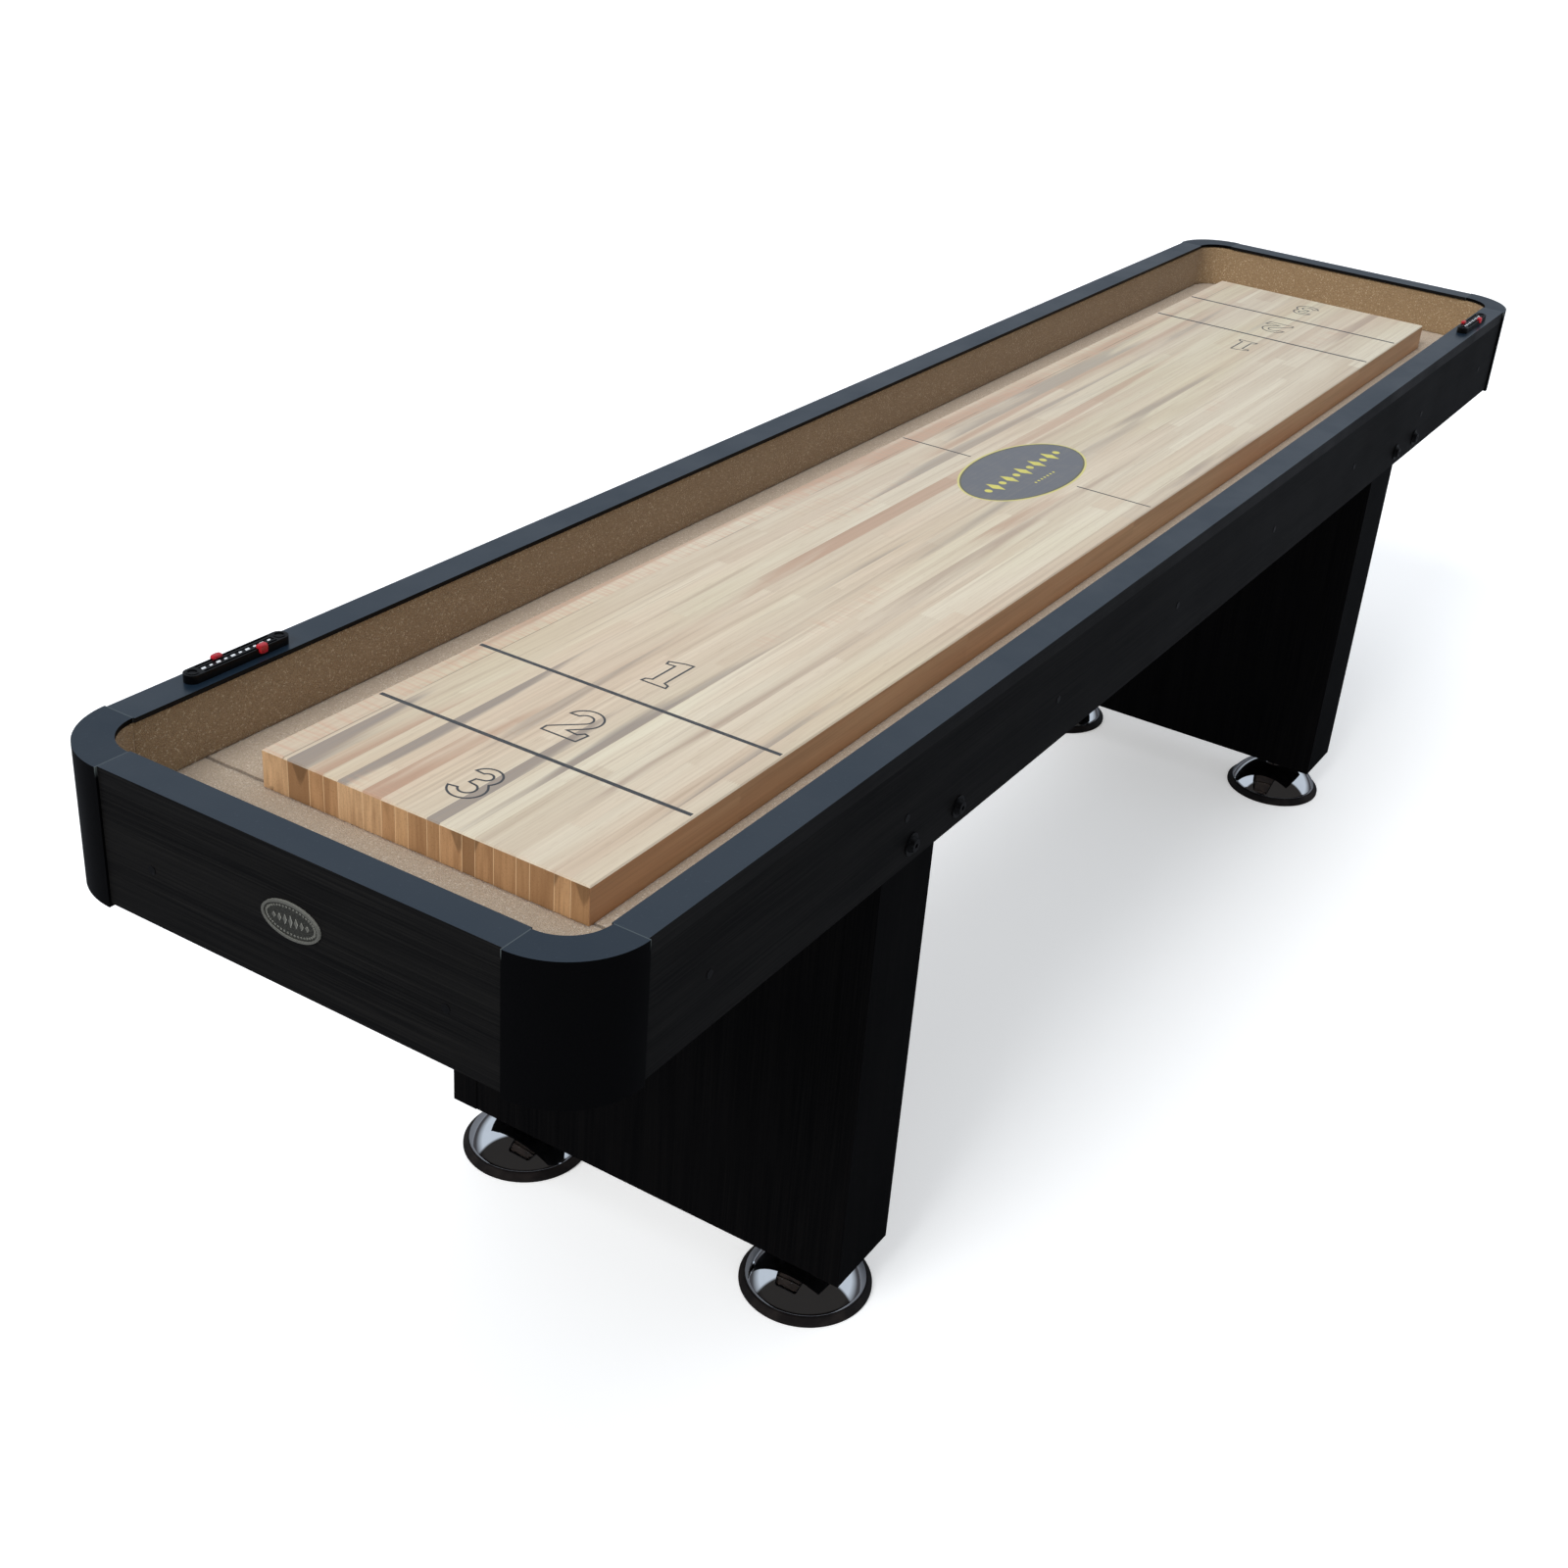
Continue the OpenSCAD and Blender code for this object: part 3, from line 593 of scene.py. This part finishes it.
def pile(x, y, z):
    """How far the pile stands up at a place, from 0 to 1."""
    clumps = noise.noise((x * 160, y * 160, z * 160))
    tufts = noise.noise((x * 410, y * 410, z * 410))
    return 0.5 + 0.22 * clumps + 0.45 * tufts


def wall_strip(name, path, low, high, node):
    """A strip of carpet on a wall. path holds (x, y, inward x, inward y) along the wall's face."""
    rows = max(2, round((high - low) / WALL_STEP))
    heights = [low + (high - low) * i / rows for i in range(rows + 1)]
    points, faces = [], []
    for x, y, ix, iy in path:
        for i, z in enumerate(heights):
            rim = 1.3 * MM if i in (0, rows) else 0.0
            rise = liner_t - 0.7 * MM * (1 - pile(x, y, z)) - rim
            points.append((x + ix * rise, y + iy * rise, z))
    front = len(points)
    for x, y, _, _ in path:
        points.append((x, y, low))
        points.append((x, y, high))
    n, tall = len(path), rows + 1
    for a in range(n - 1):
        for b in range(rows):
            p = a * tall + b
            faces.append((p, p + 1, p + tall + 1, p + tall))
        back = front + 2 * a
        faces.append((back, back + 2, back + 3, back + 1))
        faces.append((a * tall, (a + 1) * tall, back + 2, back))
        faces.append((a * tall + rows, back + 1, back + 3, (a + 1) * tall + rows))
    last = (n - 1) * tall
    faces.append(list(range(tall))[::-1] + [front, front + 1])
    faces.append([last + i for i in range(tall)] + [front + 2 * n - 1, front + 2 * n - 2])
    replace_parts(piece(name, points, faces, MATERIALS["wall_carpet"], "wall_carpet"), node)


def straight(x0, y0, x1, y1, inward):
    count = round(math.hypot(x1 - x0, y1 - y0) / WALL_STEP)
    ticks = [i / count for i in range(count + 1)]
    return [(x0 + (x1 - x0) * t, y0 + (y1 - y0) * t, *inward) for t in ticks]


def wall_carpets():
    wall_y = liner_high.y
    wall_x = end_liner_x
    corner_r = wall_x - straight_x
    low, high = liner_low.z, liner_high.z
    for side, sign in SIDES.items():
        path = straight(-straight_x, sign * wall_y, straight_x, sign * wall_y, (0, -sign))
        wall_strip("pile_wall_" + side, path, low, high, "side_liner_" + side)
    for end, sign in ENDS.items():
        turn = arc(0, 0, 1, 90, 0, 40)
        path = [(sign * (straight_x + corner_r * c), straight_y + corner_r * d, -sign * c, -d)
                for c, d in turn]
        path += straight(sign * wall_x, straight_y, sign * wall_x, -straight_y, (-sign, 0))[1:]
        path += [(sign * (straight_x + corner_r * c), -straight_y - corner_r * d, -sign * c, d)
                 for c, d in turn[::-1]][1:]
        wall_strip("pile_wall_" + end, path, low, high, "end_liner_" + end)


def ruled(stops, step):
    """Coordinates from the first stop to the last, close to a step apart, with every stop among them."""
    made = [stops[0]]
    for a, b in zip(stops, stops[1:]):
        count = max(1, round((b - a) / step))
        made += [a + (b - a) * i / count for i in range(1, count + 1)]
    return made


def floor_carpet():
    """The gutter's carpet: a sheet around the board, with a joint level with its near end."""
    step = 3.6 * MM
    clear = 0.3 * MM
    hole_x, hole_y = board_high.x + clear, board_high.y + clear
    edge_x, edge_y = carpet_high.x, carpet_high.y
    corner_r = edge_x - straight_x
    xs = ruled([-edge_x, -hole_x, seam_x - 1.5 * MM, seam_x, seam_x + 1.5 * MM, hole_x, edge_x], step)
    ys = ruled([-edge_y, -hole_y, hole_y, edge_y], step)
    index, points, faces = {}, [], []

    def vertex(i, j):
        if (i, j) in index:
            return index[i, j]
        x, y = xs[i], ys[j]
        over_x, over_y = abs(x) - straight_x, abs(y) - straight_y
        reach = math.hypot(over_x, over_y)
        if over_x > 0 and over_y > 0 and reach > corner_r:
            x = math.copysign(straight_x + over_x * corner_r / reach, x)
            y = math.copysign(straight_y + over_y * corner_r / reach, y)
        drop = 1.3 * MM if abs(x - seam_x) < 0.1 * MM else 0.0
        fray = max(0.0, 1 - abs(x - seam_x) / (5 * MM)) * noise.noise((x * 300, y * 300, 0)) * 0.8 * MM
        z = carpet_high.z - 0.8 * MM + 0.7 * MM * pile(x, y, 0) - drop + fray
        index[i, j] = len(points)
        points.append((x, y, z))
        return index[i, j]

    for i in range(len(xs) - 1):
        for j in range(len(ys) - 1):
            mid_x, mid_y = (xs[i] + xs[i + 1]) / 2, (ys[j] + ys[j + 1]) / 2
            if abs(mid_x) < hole_x and abs(mid_y) < hole_y:
                continue
            out_x, out_y = abs(mid_x) - straight_x, abs(mid_y) - straight_y
            if out_x > 0 and out_y > 0 and math.hypot(out_x, out_y) > corner_r:
                continue
            faces.append((vertex(i, j), vertex(i + 1, j), vertex(i + 1, j + 1), vertex(i, j + 1)))
    made = piece("pile_floor", points, faces, MATERIALS["gutter_carpet"], "gutter_carpet")
    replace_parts(made, "gutter_carpet")
    body = made.modifiers.new("thickness", "SOLIDIFY")
    body.thickness = carpet_t - 1.6 * MM
    body.offset = -1


# Levelling feet ---------------------------------------------------------------------------------


def foot_pieces(end, side):
    name = end + "_" + side
    pad_low, pad_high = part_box("foot_pad_" + name)
    dome_low, dome_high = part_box("foot_dome_" + name)
    centre = (pad_low + pad_high) / 2
    pad_r = (pad_high.x - pad_low.x) / 2
    rim_r = (dome_high.x - dome_low.x) / 2
    dome_bottom = dome_low.z
    leg_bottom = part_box(end + "_leg_post_" + side)[0].z
    pivot_r, pivot_top = 10 * MM, pad_high.z
    pad_top = dome_bottom - 0.3 * MM

    ring = [(0, 0.6 * MM), (pad_r * 0.55, 0.6 * MM), (pad_r * 0.57, 0), (pad_r - 2 * MM, 0)]
    ring += arc(pad_r - 2 * MM, 2 * MM, 2 * MM, -90, 0, 5)[1:]
    ring += arc(pad_r - 3 * MM, 4.2 * MM, 3 * MM, 0, 48, 6)
    ring += arc(rim_r + 1.5 * MM, pad_top - 1.5 * MM, 1.5 * MM, 48, 90, 5)
    ring += [(pivot_r, pad_top), (pivot_r, pivot_top - 0.8 * MM)]
    ring += [(pivot_r - 0.8 * MM, pivot_top), (0, pivot_top)]
    pad = piece("pad_" + name, *lathe(ring, centre), MATERIALS["pad_rubber"], "pad_rubber", "pad_" + name)
    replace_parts(pad, "foot_pad_" + name)
    sharpen(pad, 50)

    neck_r, stem_r, hub_r, wall = 24 * MM, 5.95 * MM, 20 * MM, 3 * MM
    rise = 40 * MM
    shell_r = (rim_r * rim_r + rise * rise) / (2 * rise)
    base = dome_bottom + 2 * MM
    shell_z = base + rise - shell_r
    fillet = 11 * MM
    # the fillet's centre is outside both the shell and the neck
    fillet_x = neck_r + fillet
    fillet_z = shell_z + math.sqrt((shell_r + fillet) ** 2 - fillet_x ** 2)
    touch = math.degrees(math.atan2(fillet_z - shell_z, fillet_x))
    foot = math.degrees(math.atan2(base - shell_z, rim_r))
    curve = [(0, pivot_top + 0.3 * MM), (pivot_r + 0.05 * MM, pivot_top + 0.3 * MM)]
    curve += [(pivot_r + 0.05 * MM, dome_bottom), (hub_r, dome_bottom)]
    inside = arc(0, shell_z, shell_r - wall, 74, foot + 2.5, 14)
    curve += [(hub_r, inside[0][1])] + inside + [(rim_r - wall, dome_bottom)]
    curve += arc(rim_r - 1 * MM, dome_bottom + 1 * MM, 1 * MM, -90, 0, 4)
    curve += arc(rim_r - 1 * MM, base - 1 * MM, 1 * MM, 0, foot, 4)
    curve += arc(0, shell_z, shell_r, foot + 0.8, touch, 34)
    curve += arc(fillet_x, fillet_z, fillet, touch - 180, -180, 12)[1:]
    curve += [(neck_r, leg_bottom - 1 * MM), (neck_r - 1 * MM, leg_bottom), (stem_r, leg_bottom)]
    threads = 30
    for i in range(threads + 1):
        z = leg_bottom + 1 * MM + (dome_high.z - leg_bottom - 3 * MM) * i / threads
        curve += [(stem_r, z), (stem_r - 0.6 * MM, z + 0.7 * MM)]
    curve += [(stem_r - 1.2 * MM, dome_high.z), (0, dome_high.z)]
    dome = piece("dome_" + name, *lathe(curve, centre, 128), MATERIALS["chrome"], "chrome", "dome_" + name)
    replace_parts(dome, "foot_dome_" + name)
    sharpen(dome, 50)


# Scorers ----------------------------------------------------------------------------------------


class ScorerPlace:
    """A scorer's own axes: along it, and across it towards the outside of the table."""

    def __init__(self, side):
        low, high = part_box("scorer_" + side)
        self.sign = SIDES[side]
        self.centre = (low + high) / 2
        self.top = high.z
        self.half_l = (high.x - low.x) / 2
        self.half_w = (high.y - low.y) / 2

    def at(self, along, out, z):
        return (self.centre.x + self.sign * along, self.centre.y + self.sign * out, z)


def rectangle(x0, x1, y0, y1):
    return [(x0, y0), (x1, y0), (x1, y1), (x0, y1)]


def solid_prism(points, faces, outline, low, high):
    """Adds an upright prism on an outline of (x, y), given anticlockwise."""
    first, n = len(points), len(outline)
    points += [(x, y, low) for x, y in outline] + [(x, y, high) for x, y in outline]
    faces.append([first + i for i in range(n)][::-1])
    faces.append([first + n + i for i in range(n)])
    for i in range(n):
        j = (i + 1) % n
        faces.append((first + i, first + j, first + n + j, first + n + i))


def ring_outline(points, faces, outline, width, low, high):
    """Adds a closed ribbon of a width along an outline."""
    first, n = len(points), len(outline)
    for i in range(n):
        before, here, after = Vector(outline[i - 1]), Vector(outline[i]), Vector(outline[(i + 1) % n])
        a, b = (here - before).normalized(), (after - here).normalized()
        out = Vector((a.y + b.y, -a.x - b.x))
        out = out.normalized() if out.length > 1e-6 else Vector((a.y, -a.x))
        reach = width / 2 / max(0.45, out.dot(Vector((a.y, -a.x))))
        for offset, z in ((reach, low), (reach, high), (-reach, high), (-reach, low)):
            points.append((here.x + out.x * offset, here.y + out.y * offset, z))
    for i in range(n):
        p, q = first + 4 * i, first + 4 * ((i + 1) % n)
        for k in range(4):
            faces.append((p + k, q + k, q + (k + 1) % 4, p + (k + 1) % 4))


def scorer_details(side):
    place = ScorerPlace(side)
    screw_at, screw_rim_r = place.half_l - place.half_w, 5.6 * MM
    points, faces = [], []
    for along in (-screw_at, screw_at):
        x, y, _ = place.at(along, 0, 0)
        ring_outline(points, faces, arc(x, y, screw_rim_r, 0, 360, 40)[:-1], 1.4 * MM,
                     place.top - 0.2 * MM, place.top + 0.6 * MM)
    made = piece("scorer_rims_" + side, points, faces, MATERIALS["scorer_plastic"], "scorer_plastic")
    sharpen(made)
    points, faces = [], []
    window_floor = place.top - 0.8 * MM
    marks, pitch, lean = 10, 9.4 * MM, 0.6 * MM
    for i in range(marks):
        major = i % 2 == 0
        long_half, wide_half = (1.8 * MM, 2.6 * MM) if major else (1.4 * MM, 1.8 * MM)
        along = (i - (marks - 1) / 2) * pitch
        corners = [(-wide_half - lean, -long_half), (wide_half - lean, -long_half),
                   (wide_half + lean, long_half), (-wide_half + lean, long_half)]
        spots = [place.at(along + a, o, 0)[:2] for a, o in corners]
        solid_prism(points, faces, spots, window_floor - 0.05 * MM, window_floor + 0.12 * MM)
    piece("scorer_marks_" + side, points, faces, WHITE_INK, "marker_plastic", smooth=False)


def marker(side, kind):
    """A ribbed red rider that clips over the scorer's edge, with a tongue in its slot."""
    name = "marker_%s_%s" % (side, kind)
    place = ScorerPlace(side)
    low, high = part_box(name)
    mid = ((low + high) / 2 - place.centre) * place.sign
    out = 1 if kind == "outer" else -1
    half = (high.x - low.x) / 2
    skirt_in = place.half_w + 0.3 * MM
    skirt_out = place.half_w + 2.5 * MM
    inner = 4.0 * MM
    under = place.top + 0.3 * MM
    top = high.z
    bottom = place.top - 6 * MM
    # section of the clip: (out, height), from the inner end over the top and down the skirt
    section = [(inner, under), (inner, under + 1.0 * MM)]
    section += arc(inner + 2.4 * MM, top - 2.4 * MM, 2.4 * MM, 170, 90, 6)
    section += arc(skirt_out - 3 * MM, top - 3 * MM, 3 * MM, 90, 0, 8)
    section += arc(skirt_out - 0.8 * MM, bottom + 0.8 * MM, 0.8 * MM, 0, -90, 4)
    section += [(skirt_in, bottom), (skirt_in, under)]
    centre_o, centre_z = (inner + skirt_out) / 2, under + 0.4 * MM
    points, faces = [], []
    slices, n = 33, len(section)
    for i in range(slices):
        u = -1 + 2 * i / (slices - 1)
        shrink = (1 - abs(u * 0.985) ** 3.2) ** (1 / 3.2)
        rib = 1 - 0.035 * (0.5 + 0.5 * math.cos(u * math.pi * 7))
        for o, z in section:
            outer_part = z > under + 1.2 * MM or o > skirt_in + 0.5 * MM
            scale = shrink * (rib if outer_part else 1.0)
            so = centre_o + (o - centre_o) * (scale if o > centre_o else 0.35 + 0.65 * shrink)
            so = max(so, skirt_in) if z < under - 0.1 * MM else so
            sz = centre_z + (z - centre_z) * (scale if z > centre_z else 0.25 + 0.75 * shrink)
            points.append(place.at(mid.x + u * half, out * so, sz))
    for i in range(slices - 1):
        for k in range(n):
            p, q = i * n + k, i * n + (k + 1) % n
            faces.append((p, q, q + n, p + n))
    faces.append(list(range(n))[::-1])
    faces.append([(slices - 1) * n + k for k in range(n)])
    slot_y, slot_half, tongue = 6.4 * MM, 1.1 * MM, 5 * MM
    corners = rectangle(-tongue, tongue, slot_y - slot_half, slot_y + slot_half)
    spots = [place.at(mid.x + a, out * o, 0)[:2] for a, o in corners]
    solid_prism(points, faces, spots, place.top - 5.7 * MM, under + 0.5 * MM)
    made = piece("rider_%s_%s" % (side, kind), points, faces, MATERIALS["marker_plastic"],
                 "marker_plastic", name)
    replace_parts(made, name)
    sharpen(made, 50)


# Printed lines, numbers and emblem --------------------------------------------------------------

INK_T = 0.12 * MM
INK_LOW = board_top - 0.02 * MM
ZONE_LINES_AT = (1.056, 0.904)
LINE_HALF_W, MIDDLE_LINE_HALF_W = 2.6 * MM, 1.3 * MM


def glyph_one():
    return [(0.12, 0.0), (0.62, 0.0), (0.60, 0.10), (0.50, 0.14), (0.50, 1.0), (0.34, 0.98),
            (0.06, 0.88), (0.08, 0.78), (0.25, 0.80), (0.25, 0.14), (0.14, 0.10)]


def glyph_two():
    shape = arc(0.36, 0.68, 0.32, 172, -38, 22)
    shape += [(0.36, 0.22), (0.58, 0.20), (0.66, 0.30), (0.74, 0.28), (0.70, 0.0), (0.02, 0.0)]
    shape += [(0.02, 0.14)] + arc(0.36, 0.68, 0.15, -38, 160, 16)
    return shape


def glyph_three():
    shape = arc(0.34, 0.74, 0.26, 165, -42, 20)
    shape += arc(0.34, 0.31, 0.31, 42, -162, 22)
    shape += arc(0.34, 0.31, 0.15, -155, 72, 18)
    shape += [(0.30, 0.46), (0.24, 0.47), (0.26, 0.60)]
    shape += arc(0.35, 0.74, 0.11, -78, 150, 14)
    return shape


def area(outline):
    pairs = zip(outline, outline[1:] + outline[:1])
    return sum(a[0] * b[1] - b[0] * a[1] for a, b in pairs) / 2


def anticlockwise(outline):
    return outline if area(outline) > 0 else outline[::-1]


def zone_lines():
    """Two lines at each end, and one across the middle that stops at the emblem."""
    points, faces = [], []
    half_w = board_high.y - 3.5 * MM
    emblem_gap = 82 * MM
    for sign in (-1, 1):
        for at in ZONE_LINES_AT:
            x = sign * at
            box = rectangle(x - LINE_HALF_W, x + LINE_HALF_W, -half_w, half_w)
            solid_prism(points, faces, box, INK_LOW, board_top + INK_T)
        low, high = sorted((sign * emblem_gap, sign * half_w))
        box = rectangle(-MIDDLE_LINE_HALF_W, MIDDLE_LINE_HALF_W, low, high)
        solid_prism(points, faces, box, INK_LOW, board_top + INK_T)
    piece("print_lines", points, faces, LINE_INK, "maple", smooth=False)


def zone_numbers():
    points, faces = [], []
    tall, stroke = 62 * MM, 2.3 * MM
    places = {1.136: glyph_three(), 0.981: glyph_two(), 0.8295: glyph_one()}
    for sign in (-1, 1):
        for x, glyph in places.items():
            half_glyph = max(p[0] for p in glyph) / 2
            # up the glyph is +X at the near end and -X at the far end
            outline = [(sign * (x - tall * (v - 0.5)), sign * tall * (u - half_glyph)) for u, v in glyph]
            ring_outline(points, faces, anticlockwise(outline), stroke, INK_LOW, board_top + INK_T)
    piece("print_numbers", points, faces, LINE_INK, "maple", smooth=False)


def oval(half_x, half_y, steps=120):
    return [(half_x * c, half_y * d) for c, d in arc(0, 0, 1, 0, 360, steps)[:-1]]


def emblem():
    """A plain oval with a row of discs and lozenges."""
    half_x, half_y = 134 * MM, 67 * MM
    points, faces = [], []
    ring_outline(points, faces, oval(half_x + 2 * MM, half_y + 2 * MM), 4 * MM, INK_LOW, board_top + INK_T)
    piece("print_emblem_halo", points, faces, HALO_INK, "maple", smooth=False)
    points, faces = [], []
    solid_prism(points, faces, oval(half_x, half_y), INK_LOW, board_top + INK_T)
    piece("print_emblem_field", points, faces, FIELD_INK, "maple", smooth=False)
    points, faces = [], []
    ring_outline(points, faces, oval(half_x, half_y), 2.2 * MM, INK_LOW, board_top + 1.4 * INK_T)
    piece("print_emblem_ring", points, faces, RING_INK, "maple", smooth=False)
    points, faces = [], []
    pitch, disc_r, lozenge_x, lozenge_y = 20.5 * MM, 5.5 * MM, 8 * MM, 15 * MM
    for i in range(-5, 6):
        x = i * pitch
        if i % 2:
            shape = [(x + u, v) for u, v in oval(disc_r, disc_r, 28)]
        else:
            shape = [(x - lozenge_x, 0), (x, -lozenge_y), (x + lozenge_x, 0), (x, lozenge_y)]
        solid_prism(points, faces, shape, INK_LOW, board_top + 1.8 * INK_T)
    dot_pitch, dot_r, dot_y = 9 * MM, 2 * MM, -33 * MM
    for i in range(-3, 4):
        dot = [(i * dot_pitch + u, dot_y + v) for u, v in oval(dot_r, dot_r, 12)]
        solid_prism(points, faces, dot, INK_LOW, board_top + 1.8 * INK_T)
    piece("print_emblem_figures", points, faces, GOLD_INK, "maple", smooth=False)


# Badges -----------------------------------------------------------------------------------------


def badge_ornament(end):
    """A beaded border and a plain lozenge pattern raised in the badge's field."""
    low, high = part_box("badge_" + end)
    sign = ENDS[end]
    face = high.x if sign > 0 else low.x
    centre = (low + high) / 2
    half_w, half_h = (high.y - low.y) / 2, (high.z - low.z) / 2
    points, faces = [], []
    beads, floor_x = 44, face - sign * 0.85 * MM

    def stud(y, z, ry, rz, rise, steps=10):
        first = len(points)
        ring = arc(0, 0, 1, 0, 360, steps)[:-1]
        for share, up in ((1.0, 0.0), (0.8, 0.7), (0.4, 0.95)):
            x = floor_x + sign * rise * up
            points.extend((x, y + ry * share * c, z + rz * share * d) for c, d in ring)
        points.append((floor_x + sign * rise, y, z))
        for k in range(2):
            for i in range(steps):
                j = (i + 1) % steps
                a, b = first + k * steps, first + (k + 1) * steps
                faces.append((a + i, a + j, b + j, b + i))
        for i in range(steps):
            faces.append((first + 2 * steps + i, first + 2 * steps + (i + 1) % steps, first + 3 * steps))
        faces.append([first + i for i in range(steps)][::-1])

    for i in range(beads):
        t = 2 * math.pi * i / beads
        stud(centre.y + (half_w - 5.4 * MM) * math.cos(t), centre.z + (half_h - 5.4 * MM) * math.sin(t),
             1.1 * MM, 1.1 * MM, 0.6 * MM)
    for i in range(-3, 4):
        tall = (6.5 - 1.1 * abs(i)) * MM
        stud(centre.y + i * 6.4 * MM, centre.z, 2.3 * MM, tall, 0.75 * MM, 4)
    made = piece("badge_relief_" + end, points, faces, MATERIALS["badge_metal"], "badge_metal")
    sharpen(made)


# Assembly ---------------------------------------------------------------------------------------

wall_carpets()
floor_carpet()
for end_name in ENDS:
    badge_ornament(end_name)
    for side_name in SIDES:
        foot_pieces(end_name, side_name)
for side_name in SIDES:
    scorer_details(side_name)
    marker(side_name, "outer")
    marker(side_name, "inner")
zone_lines()
zone_numbers()
emblem()

for board in ("side_rail_left", "side_rail_right", "end_rail_near", "end_rail_far"):
    soften(board, 0.8 * MM)
for end_name in ENDS:
    soften("badge_" + end_name, 0.35 * MM)
    for side_name in SIDES:
        soften("corner_%s_%s" % (end_name, side_name), 0.9 * MM)
        soften("%s_leg_post_%s" % (end_name, side_name), 0.8 * MM)
for side_name in SIDES:
    soften("scorer_" + side_name, 0.45 * MM)


# Floor, light and camera --------------------------------------------------------------------------


def stage_floor():
    size = 60.0
    mesh = bpy.data.meshes.new("floor")
    corners = [(-size, -size, 0), (size, -size, 0), (size, size, 0), (-size, size, 0)]
    mesh.from_pydata(corners, [], [(0, 1, 2, 3)])
    s = Shader("floor")
    cloud = s.noise(s.place, 0.8, 2, 0.5)
    ray = s.add("LightPath").outputs
    from_above = s.math("SUBTRACT", 1.0, s.add("NewGeometry").outputs["Backfacing"])
    paper = s.mix(cloud, srgb(246, 246, 246), srgb(250, 250, 250))
    mesh.materials.append(s.finish(base_color=s.mix(ray["Is Glossy Ray"], paper, srgb(128, 130, 135)),
                                   roughness=0.9, specular_ior_level=0.1, alpha=from_above,
                                   emission_color=(1.0, 0.985, 0.96, 1),
                                   emission_strength=s.math("MULTIPLY", ray["Is Camera Ray"], 0.36)))
    floor = bpy.data.objects.new("floor", mesh)
    bpy.context.scene.collection.objects.link(floor)


def soft_light(name, place, target, size, watts, tint=(1, 1, 1)):
    data = bpy.data.lights.new(name, "AREA")
    data.shape = "DISK"
    data.size = size
    data.energy = watts
    data.color = tint
    lamp = bpy.data.objects.new(name, data)
    lamp.location = place
    lamp.rotation_euler = (Vector(target) - Vector(place)).to_track_quat("-Z", "Y").to_euler()
    lamp.visible_glossy = False
    bpy.context.scene.collection.objects.link(lamp)


def low_sun(rise, heading, strength, spread):
    """A wide soft light from afar, over the table's near end."""
    data = bpy.data.lights.new("sun", "SUN")
    data.energy = strength
    data.angle = math.radians(spread)
    lamp = bpy.data.objects.new("sun", data)
    lamp.rotation_euler = (0, math.radians(rise - 90), math.radians(heading))
    lamp.visible_glossy = False
    bpy.context.scene.collection.objects.link(lamp)


def sky():
    """Pale all round. Reflections see it lit only above the far side, with a dark room behind
    the camera, and the camera sees a white backdrop."""
    world = bpy.data.worlds.new("sky")
    bpy.context.scene.world = world
    world.use_nodes = True
    n = Nodes(world.node_tree)
    shade = n.tree.nodes["Background"]
    place = n.add("TexCoord").outputs["Generated"]
    ray = n.add("LightPath").outputs
    up = n.split(place)[2]
    ahead = n.add("VectorMath", {0: place, 1: (0.88, 0.48, 0.0)}, operation="DOT_PRODUCT").outputs["Value"]
    plain = n.ramp(up, [(0.05, (0.97, 0.97, 0.97, 1)), (0.55, (0.84, 0.91, 1.0, 1))])
    lit = n.ramp(up, [(0.10, (0.10, 0.10, 0.11, 1)), (0.32, (0.90, 1.0, 1.12, 1))])
    room = n.ramp(n.math("ADD", ahead, 0.5), [(0.40, (0.05, 0.042, 0.036, 1)), (0.47, (1, 1, 1, 1))])
    seen = n.mix(ray["Is Glossy Ray"], plain, n.mix(1.0, lit, room, "MULTIPLY"))
    n.plug(shade.inputs["Color"], n.mix(ray["Is Camera Ray"], seen, (1.6, 1.6, 1.6, 1)))
    shade.inputs["Strength"].default_value = 0.62


def viewpoint():
    """The camera: heading from +X towards +Y, pitch below the horizon and a small roll."""
    place, heading, pitch, roll = (-2.3935, -1.0793, 1.6869), 28.48, -28.58, 5.58
    data = bpy.data.cameras.new("camera")
    data.sensor_width = 36.0
    data.lens = 46.02
    data.shift_x = -0.0435
    data.shift_y = -0.0062
    data.clip_end = 200.0
    camera = bpy.data.objects.new("camera", data)
    turn = Matrix.Rotation(math.radians(heading - 90), 4, "Z")
    tilt = Matrix.Rotation(math.radians(90 + pitch), 4, "X")
    lean = Matrix.Rotation(math.radians(roll), 4, "Z")
    camera.matrix_world = Matrix.Translation(place) @ turn @ tilt @ lean
    bpy.context.scene.collection.objects.link(camera)
    bpy.context.scene.camera = camera


stage_floor()
sky()
soft_light("key", (-0.6, 0.5, 4.6), (0, 0, 0.7), 4.5, 42)
low_sun(38, -4, 1.75, 25)
viewpoint()
bpy.context.scene.view_settings.view_transform = "Standard"
